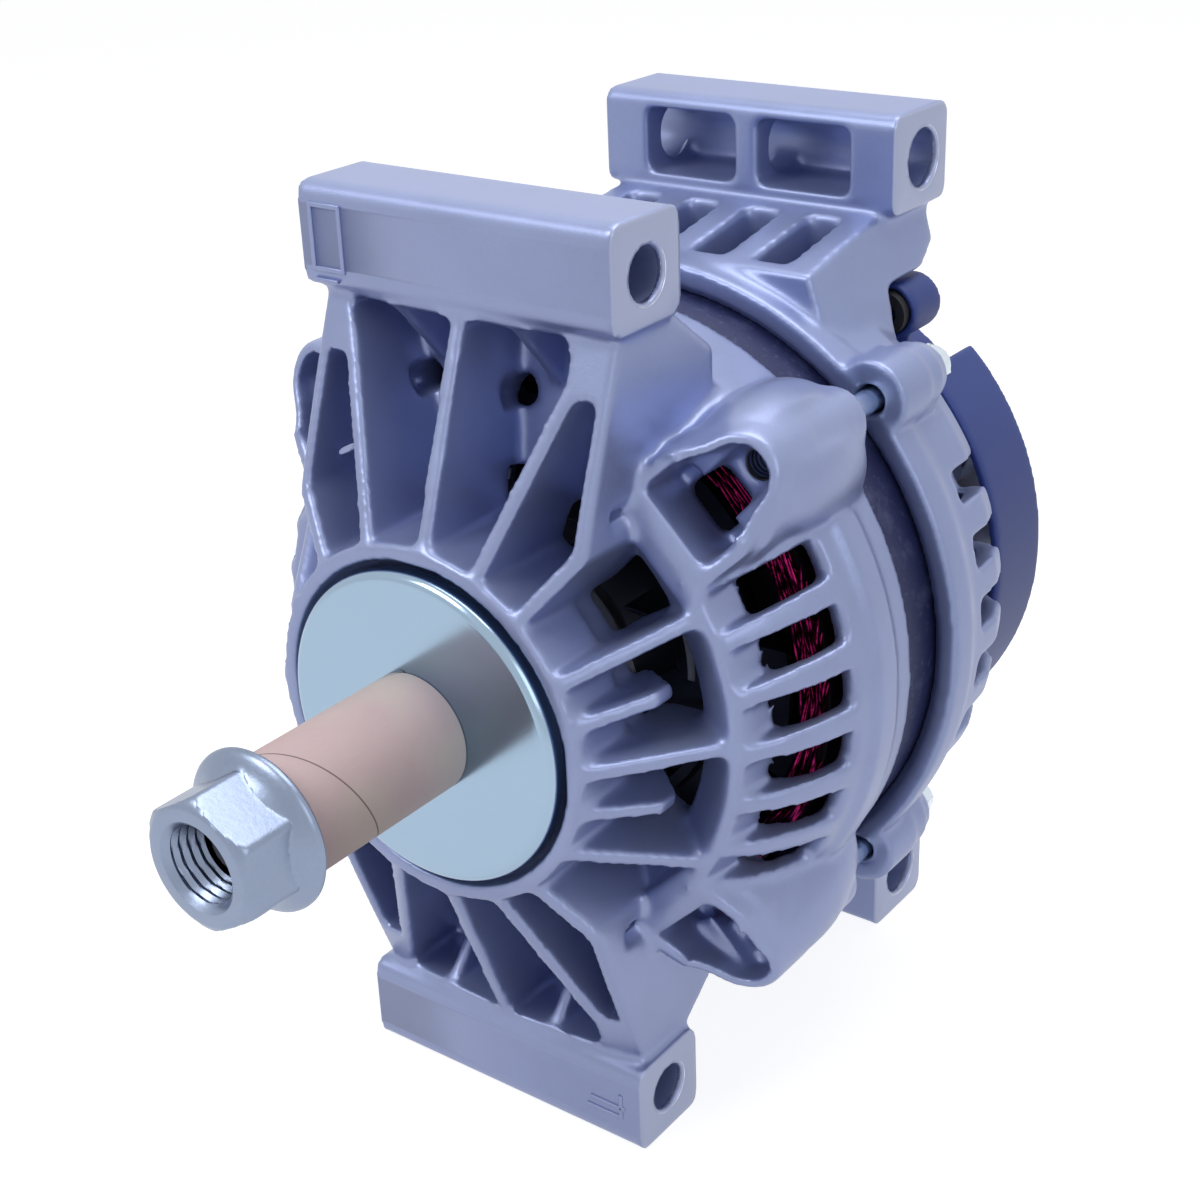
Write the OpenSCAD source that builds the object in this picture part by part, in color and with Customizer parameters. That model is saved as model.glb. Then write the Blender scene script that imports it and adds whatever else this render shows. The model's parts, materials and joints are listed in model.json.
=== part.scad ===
// Heavy-duty pad-mount alternator, built from separate castings, rotor parts and rear electronics.
// X runs along the mounting bores, Y runs along the shaft towards the rear and Z points up.
// The origin lies on the shaft's axis, in the middle of the front pair of mounting bores.

/* [Mounting blocks] */
// Width of the four mounting blocks along their bores
block_w = 74; // [70:1:80]
// Distance between the upper and the lower bore
bore_pitch_z = 177.8; // [176:0.2:184]
// Distance between the front and the rear bore
bore_pitch_y = 101.6; // [100:0.2:105]
// Radius of the front bores
front_bore_r = 5.1; // [4:0.1:6]
// Radius of the rear bores
rear_bore_r = 6.2; // [5:0.1:7]
// Depth of a front block along the shaft
front_block_d = 21; // [19:0.5:23]
// Height of a front block
front_block_h = 20.6; // [19:0.2:22]
// Depth of a rear block along the shaft
rear_block_d = 23; // [22:0.5:25]
// Height of a rear block
rear_block_h = 21.5; // [20:0.5:23]
// Corner radius of the blocks
block_corner_r = 3; // [1:0.5:4]
// Chamfer at the mouth of each bore
bore_chamfer = 0.4; // [0.2:0.1:0.8]
// Thickness of the pads above and below the bores
pad_over_bore = 10.8; // [9.5:0.1:12]

/* [Drive end frame] */
// Radius of the opening in the front of the hub
hub_mouth_r = 34.5; // [34:0.1:36]
// Radius of the hub at its front face
hub_ring_r = 37.8; // [37:0.2:39]
// Distance of the hub's front face ahead of the front bores
hub_reach = 27; // [26:0.5:29]
// Radius of the hub where it meets the floor
hub_foot_r = 37.2; // [37:0.1:37.6]
// Radius that the openings reach into the hub
hub_window_r = 35.2; // [35:0.1:35.6]
// Outer radius of the openings round the hub
window_r = 46.5; // [45:0.5:48]
// Radius of the raised crest round the face
crest_r = 56.5; // [56:0.5:57]
// Distance of the crest ahead of the front bores
crest_reach = 4.4; // [4:0.2:5]
// Outer radius of the skirt that holds the stator
skirt_r = 69.8; // [69.6:0.2:71]
// Wall thickness of the castings
cast_wall = 3.6; // [3:0.1:3.8]
// Thickness of the long ribs on the face
rib_t = 3.2; // [2.4:0.2:4]
// Width of a slot in the shoulder
shoulder_slot_w = 7.8; // [6:0.2:8.6]
// Half width of the towers that carry the front blocks
tower_half_w = 35.2; // [34.5:0.1:35.6]
// Thickness of the towers' slanting ribs
tower_rib_t = 3.3; // [2.6:0.1:3.8]
// Height of the band round the skirt
band_h = 1.2; // [0.6:0.2:2]

/* [Through bolts] */
// Gap between the core and the through bolts
bolt_gap = 3.1; // [2.6:0.1:3.4]
// Radius of a through bolt
bolt_r = 2.5; // [2.3:0.1:2.8]
// Radius of the hole that shows in a front lobe
lobe_hole_r = 3.2; // [3:0.1:3.6]
// Radius of the hole in a rear lobe
rear_lobe_hole_r = 3.3; // [3.1:0.1:3.8]
// Width of a bolt's hexagon across flats
bolt_head_af = 8; // [7:0.5:9]
// Half width of a front lobe
lobe_half_w = 12.3; // [12:0.1:13]
// Radius of a rear lobe
rear_lobe_r = 8.2; // [7.8:0.1:9]

/* [Stator] */
// Outer radius of the laminated core
stator_r = 68; // [67.4:0.1:68.2]
// Bore radius of the core
stator_bore_r = 53.6; // [53.4:0.1:54]
// Length of the core
stack_len = 28; // [27:0.5:30]
// Distance of the core's front face behind the front bores
stack_front_y = 33; // [32.6:0.2:34]
// Length of core held inside each casting
register_len = 8.5; // [7.5:0.5:9]
// Number of winding slots
slot_count = 36; // [24:6:36]
// Width of a winding slot
slot_w = 4.6; // [4:0.1:4.8]

/* [Slip ring end frame] */
// Wall of the rear frame's joint ring round the core
rear_ring_wall = 6; // [5.6:0.1:7]
// Depth of the rear frame behind its joint ring
rear_depth = 35.5; // [35:0.5:38]
// Width of a slot in the rear shoulder
rear_slot_w = 7; // [6:0.2:8]
// Width of a vent in the roof below the rear block
roof_slot_w = 8; // [6:0.5:9]
// Half width of the neck under each rear block
neck_half_w = 33; // [32:0.5:34]

/* [Rear cover] */
// Outer radius of the rear cover
cover_r = 63; // [61:0.5:64]
// Radius of the cover where it passes the necks
cover_neck_r = 56; // [55:0.5:57]
// Gap between the rear frame and the cover's lip
cover_gap = 5.5; // [4:0.5:7]
// Depth of the cover
cover_depth = 21.5; // [21:0.5:26]
// Wall of the cover
cover_wall = 2.2; // [1.8:0.1:2.6]

/* [Rotor] */
// Outer radius of the claw poles
claw_r = 53; // [52.6:0.1:53.2]
// Length of the claw pole pair
claw_len = 50; // [49:0.5:51]
// Number of fingers on each claw pole
claw_count = 8; // [6:1:8]
// Radius of the shaft at the pulley seat
pulley_seat_r = 8.5; // [8:0.1:8.6]
// Radius of the shaft inside the claw poles
core_seat_r = 14; // [13:0.5:15]
// Radius of the zinc dust cap
cap_r = 33; // [31:0.5:33.5]
// Distance of the dust cap's face ahead of the front bores
cap_reach = 29; // [28.5:0.5:30]
// Length of the shipping sleeve
sleeve_len = 42; // [38:0.5:44]
// Outer radius of the shipping sleeve
sleeve_r = 12.6; // [11:0.2:14]
// Radius of the nut's flange
nut_flange_r = 16.2; // [15:0.2:17]
// Width of the nut across flats
nut_af = 24; // [22:0.5:26]
// Height of the nut
nut_h = 16; // [14:0.5:18]
// Number of blades on each fan
blade_count = 10; // [8:1:12]
// Radius of the slip rings
slip_ring_r = 8; // [7.6:0.1:9]

/* [Bearings] */
// Outer radius of the front bearing
front_brg_r = 31; // [30.5:0.5:31]
// Bore radius of the front bearing
front_brg_bore_r = 12.5; // [12:0.5:12.5]
// Width of the front bearing
front_brg_w = 17; // [16:0.5:17]
// Outer radius of the rear bearing
rear_brg_r = 23.5; // [23:0.5:24]
// Bore radius of the rear bearing
rear_brg_bore_r = 8.5; // [8:0.1:8.5]
// Width of the rear bearing
rear_brg_w = 14; // [13:0.5:14]
// Balls in each bearing
ball_count = 7; // [6:1:8]

/* [Brushes] */
// Thickness of a brush along the shaft
brush_t = 4.4; // [4:0.1:4.6]
// Width of a brush across the shaft
brush_w = 8; // [6:0.5:9]
// Length of a brush
brush_len = 15; // [13:0.5:16]
// Travel of a brush from new to worn
brush_travel = 7; // [6:0.5:8]

/* [Hidden] */
$fn = 72;
casting_fn = 40;

// Clearances
fit = 0.05;
clear = 0.3;
slide = 0.1;
over = 1;

// Places along the shaft
hub_face_y = -hub_reach;
crest_y = -crest_reach;
skirt_end_y = stack_front_y + register_len;
stack_back_y = stack_front_y + stack_len;
stack_mid_y = stack_front_y + stack_len / 2;
rear_ring_y = stack_back_y - register_len;
rear_ring_r = stator_r + rear_ring_wall;
bolt_circle_r = stator_r + bolt_gap + bolt_r;
rear_wall_y = rear_ring_y + rear_depth;
rear_inner_y = rear_wall_y - cast_wall;
cover_lip_y = rear_wall_y + cover_gap;
cover_back_y = cover_lip_y + cover_depth;
claw_front_y = stack_mid_y - claw_len / 2;
claw_back_y = stack_mid_y + claw_len / 2;

// Bore and block places
bore_z = bore_pitch_z / 2;
pad_z = bore_z + pad_over_bore;
front_block_y = front_block_d / 2;
rear_block_back = rear_block_d / 2 - 1.1;
rear_block_front_y = bore_pitch_y + rear_block_back - rear_block_d;
rear_block_back_y = bore_pitch_y + rear_block_back;
front_block_z0 = pad_z - front_block_h;
rear_block_z0 = pad_z - rear_block_h;

// Hub and front bearing
hub_lip_t = 2.3;
brg_lip_r = front_brg_r - 6;
cap_recess = 4.2;
brg_front_y = hub_face_y + cap_recess + hub_lip_t;
brg_back_y = brg_front_y + front_brg_w;
floor_y = 1.2;
floor_back_y = floor_y + cast_wall;
retainer_t = 2;
retainer_r = front_brg_r + 3.4;
retainer_screw_r = 1.5;
retainer_screw_circle = front_brg_r + 1.9;
retainer_head_r = 2.1;
retainer_angles = [53, 129, 231, 307];
hub_cavity_r = retainer_r + 1;
hub_window_y = brg_front_y + 10;

// Shoulder of the drive end frame, from the crest to the skirt
shoulder = [[crest_r + 2.5, crest_y + 1], [crest_r + 7, crest_y + 9], [skirt_r - 3.2, 12.5],
            [skirt_r - 1, 20], [skirt_r, 27]];
shell_back_r = stator_r - cast_wall + 0.4;
shoulder_slots = [28.1, 16.9, 5.6, -5.6, -16.9, -28.1];
long_ribs = [28.5, 1, -28.5];
rib_root = 3;
short_ribs = [15, -14];
side_windows = [[32, 47], [3.5, 26], [-26, -1.5], [-46, -31]];
tower_windows = [66, 89.5, 113];
tower_window_w = 16.5;
tower_window_lean = 12;
band_y = 26.5;
band_w = 7.5;
band_half_z = 37;

// Lobes on the drive end frame
bolt_angles = [45, 135, 225, 315];
lobe_floor_y = 12.5;
lobe_floor_t = 3;
lobe_wall = 3.2;
lobe_in_r = 55;
lobe_top_drop = 12;
lobe_end_r = 8.6;
lobe_tail_r = 7.2;
lobe_tail_y = skirt_end_y - 0.6;
lobe_steps = 5;
rear_lobe_y = rear_ring_y + 0.6;
lobe_taper_y = 18;
lobe_window_len = 11.8;
lobe_window_w = 11.2;

// Front towers, seen from the front as points of x and z on the upper one
tower_foot_z = 28;
tower_knee_z = 39.8;
tower_knee_x = 25.3;
tower_slope = 0.41;
gusset_x = [-16, 12.6];
gusset_foot_z = 63.5;
gusset_foot_y = 4.2;
pocket_top_z = front_block_z0 - 1.4;
pocket_floor_slope = 0.16;
core_hole_r = 3;
core_holes = [[-20, 59.3], [3.6, 60.3]];

// Rear frame
rear_shell_r = rear_ring_r - 2.6;
rear_hub_r = rear_brg_r + 5;
rear_brg_front_y = rear_wall_y - 11;
rear_brg_back_y = rear_brg_front_y + rear_brg_w;
rear_hub_back_y = rear_brg_back_y + 2;
rear_slots = [25.4, 13.9, 3, -8, -19, -30];
rear_slot_front_y = rear_ring_y + 15.5;
rear_slot_in_r = 60;
rear_lobe_back_y = rear_wall_y - 12;
bolt_seat_r = bolt_head_af * 0.56 + 1.4;
roof_slots = [-23.5, -8, 7.5, 23];
neck_foot_half_w = 40.6;
neck_foot_z = 52;
neck_knee_z = 68.4;
neck_under_z = 64.4;
neck_back_z = 68.6;
rear_pocket_half = 26;
rear_web_half = 2.9;
rear_pocket_z0 = rear_block_z0 + 3.6;
rear_pocket_z1 = pad_z - 3.4;
rear_pocket_depth = 18;
vent_r0 = 33;
vent_r1 = 46.5;
vents = [[-56, -26], [-14, 14], [26, 56], [88, 118], [146, 172], [184, 213], [258, 288]];
lead_angles = [186, 196, 206];
lead_circle = 57.6;
lead_r = 1.4;
lead_start_y = 77.2;
cover_post_r = 4;
cover_posts = [[-51, 10], [-16, -43], [8, 46]];
cover_screw_r = 2.4;

// Bearings
front_pitch_r = (front_brg_r + front_brg_bore_r) / 2;
front_ball_r = 5.7;
rear_pitch_r = (rear_brg_r + rear_brg_bore_r) / 2;
rear_ball_r = 4.3;
groove_gap = 0.12;
race_t = 3.2;
rear_race_t = 2.6;
cage_t = 1.6;
cage_w = 3.6;

// Rotor
plate_t = 13;
pole_core_r = 20;
coil_r = 39;
bobbin_t = 1.2;
finger_base_w = 22;
finger_tip_w = 9;
fan_plate_t = 1.6;
front_blade_h = 12;
rear_blade_h = 7.4;
blade_t = 1.5;
blade_out_r = 50;
front_blade_in_r = 27;
rear_blade_in_r = 31;
blade_lean = 24;
cap_t = 1.5;
cap_rim = 4.4;
thread_r = 7.4;
nut_bore_r = 7.45;
nut_face_y = -cap_reach - sleeve_len;
nut_end_y = nut_face_y - nut_h;
shaft_tip_y = nut_face_y - 8;
nut_flange_h = 3;
nut_hex_chamfer = 1.2;
slip_seat_r = 5.5;
slip_sleeve_r = slip_ring_r - 1.2;
slip_front_y = rear_hub_back_y + 2.2;
slip_ring_w = 5;
slip_gap = 1.8;
slip_back_y = slip_front_y + 2 * slip_ring_w + 3 * slip_gap;
shaft_back_y = slip_back_y + 0.4;

// Rear electronics
sink_t = 3;
neg_sink_y = rear_wall_y + 2.4;
neg_in_r = 29.5;
neg_out_r = 43;
pos_sink_y = neg_sink_y + 8.6;
pos_in_r = 45;
pos_out_r = 58.5;
neg_half_angle = 68;
pos_half_angle = 44;
diode_r = 6.35;
diode_len = 7;
neg_diode_angles = [-41, 0, 41];
pos_diode_angles = [-27, 0, 27];
neg_diode_circle = 36.2;
pos_diode_circle = 51.6;
post_r = 3.2;
neg_post_angles = [-62, -20, 20, 62];
pos_post_angles = [-39, -13.5, 13.5, 39];
neg_post_circle = 38;
pos_post_circle = 52;
post_hole_r = 1.6;
reg_x = -33;
reg_z = 29;
reg_w = 24;
reg_h = 18;
reg_t = 12;
reg_y = rear_wall_y + 3;
reg_screw_x = 9.6;
brush_y = [slip_front_y + slip_gap + slip_ring_w / 2, slip_front_y + 2 * slip_gap + 1.5 * slip_ring_w];
holder_wall = 1.5;
holder_x1 = -slip_ring_r - 1.6;
holder_x0 = holder_x1 - brush_len - brush_travel - 4.5;
holder_half_z = brush_w / 2 + holder_wall + 1;
holder_ear = 12;
holder_grip = 4;
holder_screw_r = 2;
spring_wire_r = 0.45;
spring_r = 1.6;
spring_turns = 6;
stud_x = -26;
stud_z = -30;
stud_r = 4;
stud_end_y = cover_back_y + 14;
stud_head_af = 13;
insulator_r = 8.5;
connector_x = 34.4;
connector_z = 57;
connector_r = 6.4;
connector_wall = 1.6;
connector_y = rear_wall_y + 5;
connector_back_y = cover_back_y - 9.4;
seal_len = 4.2;
contact_pitch = 3.6;
contact_t = 0.8;
contact_h = 2.8;

// Shape helpers
function unit(v) = v / norm(v);
function polar(r, a) = [r * cos(a), r * sin(a)];
function sector(r0, r1, a0, a1, n = 8) = concat(
    [for (i = [0:n]) polar(r1, a0 + (a1 - a0) * i / n)],
    [for (i = [n:-1:0]) polar(r0, a0 + (a1 - a0) * i / n)]);
function turn_of(v) = atan2(v[1], v[0]);
function short_turn(d) = d > 180 ? d - 360 : d < -180 ? d + 360 : d;
function corner_arc(a, b, c, r, n) =
    let (u = unit(a - b), w = unit(c - b), half = acos(max(-1, min(1, u * w))) / 2,
         t = min(r / tan(half), 0.45 * norm(a - b), 0.45 * norm(c - b)), rr = t * tan(half),
         middle = b + unit(u + w) * rr / sin(half), from = turn_of(b + u * t - middle),
         by = short_turn(turn_of(b + w * t - middle) - from))
    [for (i = [0:n]) middle + polar(rr, from + by * i / n)];
// A polygon's points with each corner rounded to the radius r
function rounded(p, r, n = 4) = [for (i = [0:len(p) - 1])
    each corner_arc(p[(i + len(p) - 1) % len(p)], p[i], p[(i + 1) % len(p)], r, n)];
function box_points(x0, x1, y0, y1) = [[x0, y0], [x1, y0], [x1, y1], [x0, y1]];
function bar_points(a, b, t) =
    let (d = unit(b - a), s = [-d[1], d[0]] * t / 2) [a + s, b + s, b - s, a - s];

// A solid turned about the shaft from points of radius and y
module turned(points) rotate([-90, 0, 0]) rotate_extrude() polygon(points);
module ring(r0, r1, y0, y1) turned([[r0, y0], [r1, y0], [r1, y1], [r0, y1]]);
module rod(r, y0, y1) translate([0, y0, 0]) rotate([-90, 0, 0]) cylinder(r = r, h = y1 - y0);
module rod_at(x, z, r, y0, y1) translate([x, 0, z]) rod(r, y0, y1);
module cross_rod(r, x0, x1, y, z) translate([x0, y, z]) rotate([0, 90, 0]) cylinder(r = r, h = x1 - x0);
// A flat drawn as x and z, with its thickness along the shaft
module front_plate(y0, y1) translate([0, y1, 0]) rotate([90, 0, 0]) linear_extrude(y1 - y0) children();
// A flat drawn as y and z, with its thickness along X
module side_plate(x0, x1) translate([x0, 0, 0]) rotate([90, 0, 90]) linear_extrude(x1 - x0) children();
// A flat drawn as radius and y, standing on edge in the plane z = 0 with thickness t
module radial_plate(t) translate([0, 0, -t / 2]) linear_extrude(t) children();
module at_angle(a) rotate([0, -a, 0]) children();
module upright_and_mirrored() {
    children();
    mirror([0, 0, 1]) children();
}
module both_sides() {
    children();
    mirror([1, 0, 0]) children();
}
module hexagon(af, y0, y1)
    translate([0, y0, 0]) rotate([-90, 30, 0]) cylinder(r = af / 2 / cos(30), h = y1 - y0, $fn = 6);

module mounting_block(y0, y1, z0)
    side_plate(-block_w / 2, block_w / 2) polygon(rounded(box_points(y0, y1, z0, pad_z), block_corner_r));

module mounting_bore(r, y) {
    cross_rod(r, -block_w / 2 - over, block_w / 2 + over, y, bore_z);
    for (s = [-1, 1])
        translate([s * block_w / 2, y, bore_z]) rotate([0, 90 * s, 0])
            translate([0, 0, -bore_chamfer]) cylinder(r1 = r, r2 = r + bore_chamfer + over, h = bore_chamfer + over);
}

// Drive end frame
module front_outer() turned(concat(
    [[0, hub_face_y], [hub_ring_r, hub_face_y], [hub_foot_r, floor_y - 1], [window_r, floor_y],
     [crest_r - 2, crest_y + 0.8], [crest_r, crest_y]], shoulder, [[skirt_r, skirt_end_y], [0, skirt_end_y]]));

module front_cavity() turned([
    [0, brg_back_y], [hub_cavity_r, brg_back_y], [hub_cavity_r + 0.2, floor_back_y],
    [crest_r, floor_back_y], [crest_r + 1.4, floor_back_y + 1.4], [skirt_r - 6.6, 14.2], [skirt_r - 4.8, 21.4],
    [shell_back_r, 30], [shell_back_r, stack_front_y], [stator_r + fit, stack_front_y],
    [stator_r + fit, skirt_end_y + over], [0, skirt_end_y + over]]);

module hub_bore() {
    rod(hub_mouth_r, hub_face_y - over, hub_face_y + cap_recess);
    rod(brg_lip_r, hub_face_y, brg_back_y);
    rod(front_brg_r, brg_front_y, brg_back_y + over);
    for (a = retainer_angles)
        at_angle(a) translate([retainer_screw_circle, 0, 0]) rod(retainer_screw_r, brg_back_y - 8, brg_back_y + over);
}

module tower_side() polygon([
    [hub_face_y, tower_foot_z - over], [hub_face_y, front_block_z0 + over],
    [front_block_y - 1, front_block_z0 + over], [24, skirt_r - 1], [24, tower_foot_z - over]]);
module tower_nose() turned([
    [0, hub_face_y + 0.3], [hub_ring_r - 1, hub_face_y + 0.3], [pad_z, hub_face_y + 0.3 + (pad_z - hub_ring_r + 1) * tower_slope],
    [pad_z, 25], [0, 25]]);
module tower_front() polygon([
    [-tower_half_w, front_block_z0 + over], [tower_half_w, front_block_z0 + over], [tower_half_w, tower_knee_z],
    [tower_knee_x, tower_foot_z - 0.5], [-tower_knee_x, tower_foot_z - 0.5], [-tower_half_w, tower_knee_z]]);
module tower() intersection() {
    side_plate(-tower_half_w - over, tower_half_w + over) tower_side();
    front_plate(hub_face_y, 25) tower_front();
    tower_nose();
}

// The open cells between the ribs of a tower, as points of x and z
rib_foot = 34;
wall_in = tower_half_w - 2.8;
left_rib = [[-11.6, rib_foot], [-26, 69.5], [-31.5, pocket_top_z + 3]];
mid_rib = [[2.2, rib_foot], [0.2, pocket_top_z + 3]];
right_rib = [[14.2, rib_foot], [31.5, pocket_top_z + 3]];
shoulder_z = 67;
module cells() difference() {
    intersection() {
        polygon(rounded([[-wall_in, pocket_top_z], [wall_in, pocket_top_z], [wall_in, tower_knee_z + 1.7],
                         [tower_knee_x - 2.4, tower_foot_z + 1.7], [-tower_knee_x + 2.4, tower_foot_z + 1.7],
                         [-wall_in, tower_knee_z + 1.7]], 2));
        difference() {
            square([4 * tower_half_w, 2 * pad_z], center = true);
            circle(hub_ring_r + 0.2);
        }
    }
    for (i = [0, 1]) polygon(bar_points(left_rib[i], left_rib[i + 1], tower_rib_t));
    for (r = [mid_rib, right_rib]) polygon(bar_points(r[0], r[1], tower_rib_t));
    polygon([[-wall_in - over, pocket_top_z + over], [-wall_in - over, shoulder_z], [-29.6, shoulder_z + 0.4],
             [-26.4, shoulder_z], [-29, pocket_top_z + over]]);
    polygon([[wall_in + over, pocket_top_z + over], [wall_in + over, shoulder_z], [30.2, shoulder_z + 0.4],
             [25.8, shoulder_z - 1], [25.8, 74.6], [23.6, pocket_top_z + over]]);
}
// Webs that slope from the block's underside back to the floor of the cells
module gussets() for (x = gusset_x) side_plate(x - tower_rib_t / 2, x + tower_rib_t / 2) polygon([
    [0.3 - front_block_y, front_block_z0 + over], [gusset_foot_y, gusset_foot_z], [18, gusset_foot_z],
    [18, front_block_z0 + over]]);
module cell_depth() polygon([
    [hub_face_y - over, 0], [floor_y, 0], [floor_y, hub_foot_r],
    [floor_y + (pad_z - hub_foot_r) * pocket_floor_slope, pad_z], [hub_face_y - over, pad_z]]);
module tower_cells() difference() {
    intersection() {
        front_plate(hub_face_y - over, 30) cells();
        side_plate(-tower_half_w, tower_half_w) cell_depth();
    }
    gussets();
}
module tower_window(a) polygon([
    polar(window_r - 0.4, a), polar(window_r - 0.4, a - tower_window_w),
    polar(hub_window_r, a - tower_window_w + tower_window_lean), polar(hub_window_r, a + tower_window_lean)]);

module lobe_plan(half_w, in_r, end_r) {
    polygon([[in_r, -half_w], [bolt_circle_r - 6.4, -half_w], [bolt_circle_r + 0.4, 0.2 - end_r],
             [bolt_circle_r + 0.4, end_r - 0.2], [bolt_circle_r - 6.4, half_w], [in_r, half_w]]);
    translate([bolt_circle_r, 0]) circle(end_r);
}
module front_lobe() {
    intersection() {
        front_plate(crest_y - 1, lobe_taper_y) lobe_plan(lobe_half_w, lobe_in_r - lobe_wall, lobe_end_r);
        radial_plate(4 * lobe_half_w) polygon([
            [lobe_in_r - 2 * lobe_wall, crest_y + 0.2], [lobe_in_r + 2.5, crest_y + 0.2],
            [bolt_circle_r + lobe_end_r + 2, crest_y + lobe_top_drop], [bolt_circle_r + lobe_end_r + 2, 30],
            [lobe_in_r - 2 * lobe_wall, 30]]);
    }
    for (i = [1:lobe_steps])
        front_plate(lobe_taper_y - 1, lobe_taper_y + (lobe_tail_y - lobe_taper_y) * pow(i / lobe_steps, 1.2))
            lobe_plan(lobe_half_w + (lobe_tail_r - lobe_half_w) * i / lobe_steps, lobe_in_r + 5,
                      lobe_end_r + (lobe_tail_r - lobe_end_r) * i / lobe_steps);
}
module lobe_cup() intersection() {
    front_plate(0, lobe_floor_y + lobe_floor_t) lobe_plan(lobe_half_w - 0.6, lobe_in_r - lobe_wall, lobe_end_r - 0.4);
    ring(lobe_in_r - lobe_wall, skirt_r, 0, lobe_floor_y + lobe_floor_t);
}
module lobe_recess() {
    front_plate(crest_y - 6, lobe_floor_y) lobe_plan(lobe_half_w - lobe_wall, lobe_in_r, lobe_end_r - 2.4);
    front_plate(lobe_floor_y - over, lobe_floor_y + lobe_floor_t + over)
        polygon(rounded(box_points(lobe_in_r + 0.6, lobe_in_r + 0.6 + lobe_window_len, -lobe_window_w / 2,
                                   lobe_window_w / 2), 1.6));
    translate([bolt_circle_r, 0, 0]) {
        rod(lobe_hole_r, lobe_floor_y - over, lobe_floor_y + 7);
        rod(bolt_r + fit, lobe_floor_y, skirt_end_y + over);
    }
}

module shoulder_slot() radial_plate(shoulder_slot_w) polygon([
    [crest_r + 1, crest_y - 4], [crest_r + 2.4, 7.4], [crest_r + 3, 20.6], [skirt_r + 6, 22.4],
    [skirt_r + 6, crest_y - 4]]);

module side_ribs() both_sides() {
    for (a = long_ribs) at_angle(a) radial_plate(rib_t) polygon([
        [hub_ring_r - rib_root, hub_face_y + 0.5], [hub_ring_r + 0.8, hub_face_y + 0.6], [crest_r - 0.6, crest_y + 0.2],
        [crest_r - 0.6, floor_y + 2], [hub_ring_r - rib_root, floor_y + 2]]);
    for (a = short_ribs) at_angle(a) radial_plate(rib_t) polygon([
        [hub_ring_r - rib_root, hub_face_y + 2.5], [hub_ring_r + 0.8, hub_face_y + 2.6], [window_r + 0.5, crest_y - 7.5],
        [window_r + 0.5, crest_y - 2.5], [hub_foot_r, floor_y - 1], [hub_ring_r - rib_root, floor_y - 1]]);
}

module drive_end_frame() color("lightsteelblue") difference() {
    $fn = casting_fn;
    union() {
        difference() {
            union() {
                front_outer();
                upright_and_mirrored() {
                    tower();
                    mounting_block(-front_block_y, front_block_y, front_block_z0);
                }
                for (a = bolt_angles) at_angle(a) front_lobe();
                both_sides() intersection() {
                    ring(skirt_r - 1, skirt_r + band_h, band_y, band_y + band_w);
                    translate([0, 0, -band_half_z]) cube([2 * skirt_r, 2 * skirt_r, 2 * band_half_z]);
                }
            }
            front_cavity();
            both_sides() for (w = side_windows)
                front_plate(hub_window_y, floor_back_y + over)
                    polygon(rounded(sector(hub_window_r, window_r, w[0], w[1]), 1.2, 2));
        }
        side_ribs();
        for (a = bolt_angles) at_angle(a) lobe_cup();
    }
    upright_and_mirrored() {
        tower_cells();
        for (w = tower_windows)
            front_plate(-0.6, floor_back_y + over) tower_window(w);
        for (h = core_holes) rod_at(h[0], h[1], core_hole_r, 0, 20);
        mounting_bore(front_bore_r, 0);
    }
    for (a = bolt_angles) at_angle(a) lobe_recess();
    both_sides() for (a = shoulder_slots) at_angle(a) shoulder_slot();
    hub_bore();
}

// Slip ring end frame
module rear_outer() turned([
    [0, rear_ring_y], [rear_ring_r, rear_ring_y], [rear_ring_r, rear_ring_y + 7], [rear_shell_r + 1, rear_ring_y + 11],
    [rear_shell_r, rear_ring_y + 24], [rear_shell_r - 2.6, rear_wall_y - 4.6], [rear_shell_r - 8, rear_wall_y - 0.9],
    [rear_shell_r - 13, rear_wall_y], [0, rear_wall_y]]);
module rear_cavity() turned([
    [0, rear_ring_y - over], [stator_r + 1.7, rear_ring_y - over], [stator_r + 1.7, rear_ring_y + 1.4],
    [stator_r + fit, rear_ring_y + 1.4], [stator_r + fit, stack_back_y], [stator_r - 1.6, stack_back_y],
    [stator_r - 1.6, rear_ring_y + 23], [stator_r - 4, rear_inner_y - 3], [stator_r - 10, rear_inner_y],
    [0, rear_inner_y]]);

module neck() intersection() {
    front_plate(rear_ring_y + 6, rear_block_back_y - 1) polygon([
        [-neck_half_w - 0.6, rear_block_z0 + over], [neck_half_w + 0.6, rear_block_z0 + over],
        [neck_half_w + 1.4, neck_knee_z + 6], [neck_half_w + 3.4, neck_knee_z], [neck_foot_half_w - 1.6, neck_knee_z - 7],
        [neck_foot_half_w, neck_foot_z], [-neck_foot_half_w, neck_foot_z], [1.6 - neck_foot_half_w, neck_knee_z - 7],
        [-neck_half_w - 3.4, neck_knee_z], [-neck_half_w - 1.4, neck_knee_z + 6]]);
    side_plate(-neck_foot_half_w, neck_foot_half_w) polygon([
        [rear_ring_y + 6, neck_foot_z], [rear_ring_y + 6, rear_ring_r - 0.6], [rear_block_front_y, rear_block_z0 + 0.6],
        [rear_block_back_y - 1, rear_block_z0 + over], [rear_block_back_y - 1, neck_back_z],
        [rear_block_back_y - 9, neck_under_z], [rear_wall_y - 1, neck_under_z - 0.4], [rear_wall_y - 1, neck_foot_z]]);
}
module neck_cells() {
    for (x = roof_slots)
        translate([x - roof_slot_w / 2, rear_slot_front_y - 4.6, neck_under_z - 4])
            cube([roof_slot_w, 22.4, rear_block_z0 - neck_under_z + 12]);
    for (x = [-20, 0, 20])
        front_plate(rear_wall_y + 2.4, rear_block_back_y + over)
            polygon(rounded(box_points(x - 8.4, x + 8.4, neck_under_z + 2.8, rear_block_z0 - 2.6), 1.5, 2));
}
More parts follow.
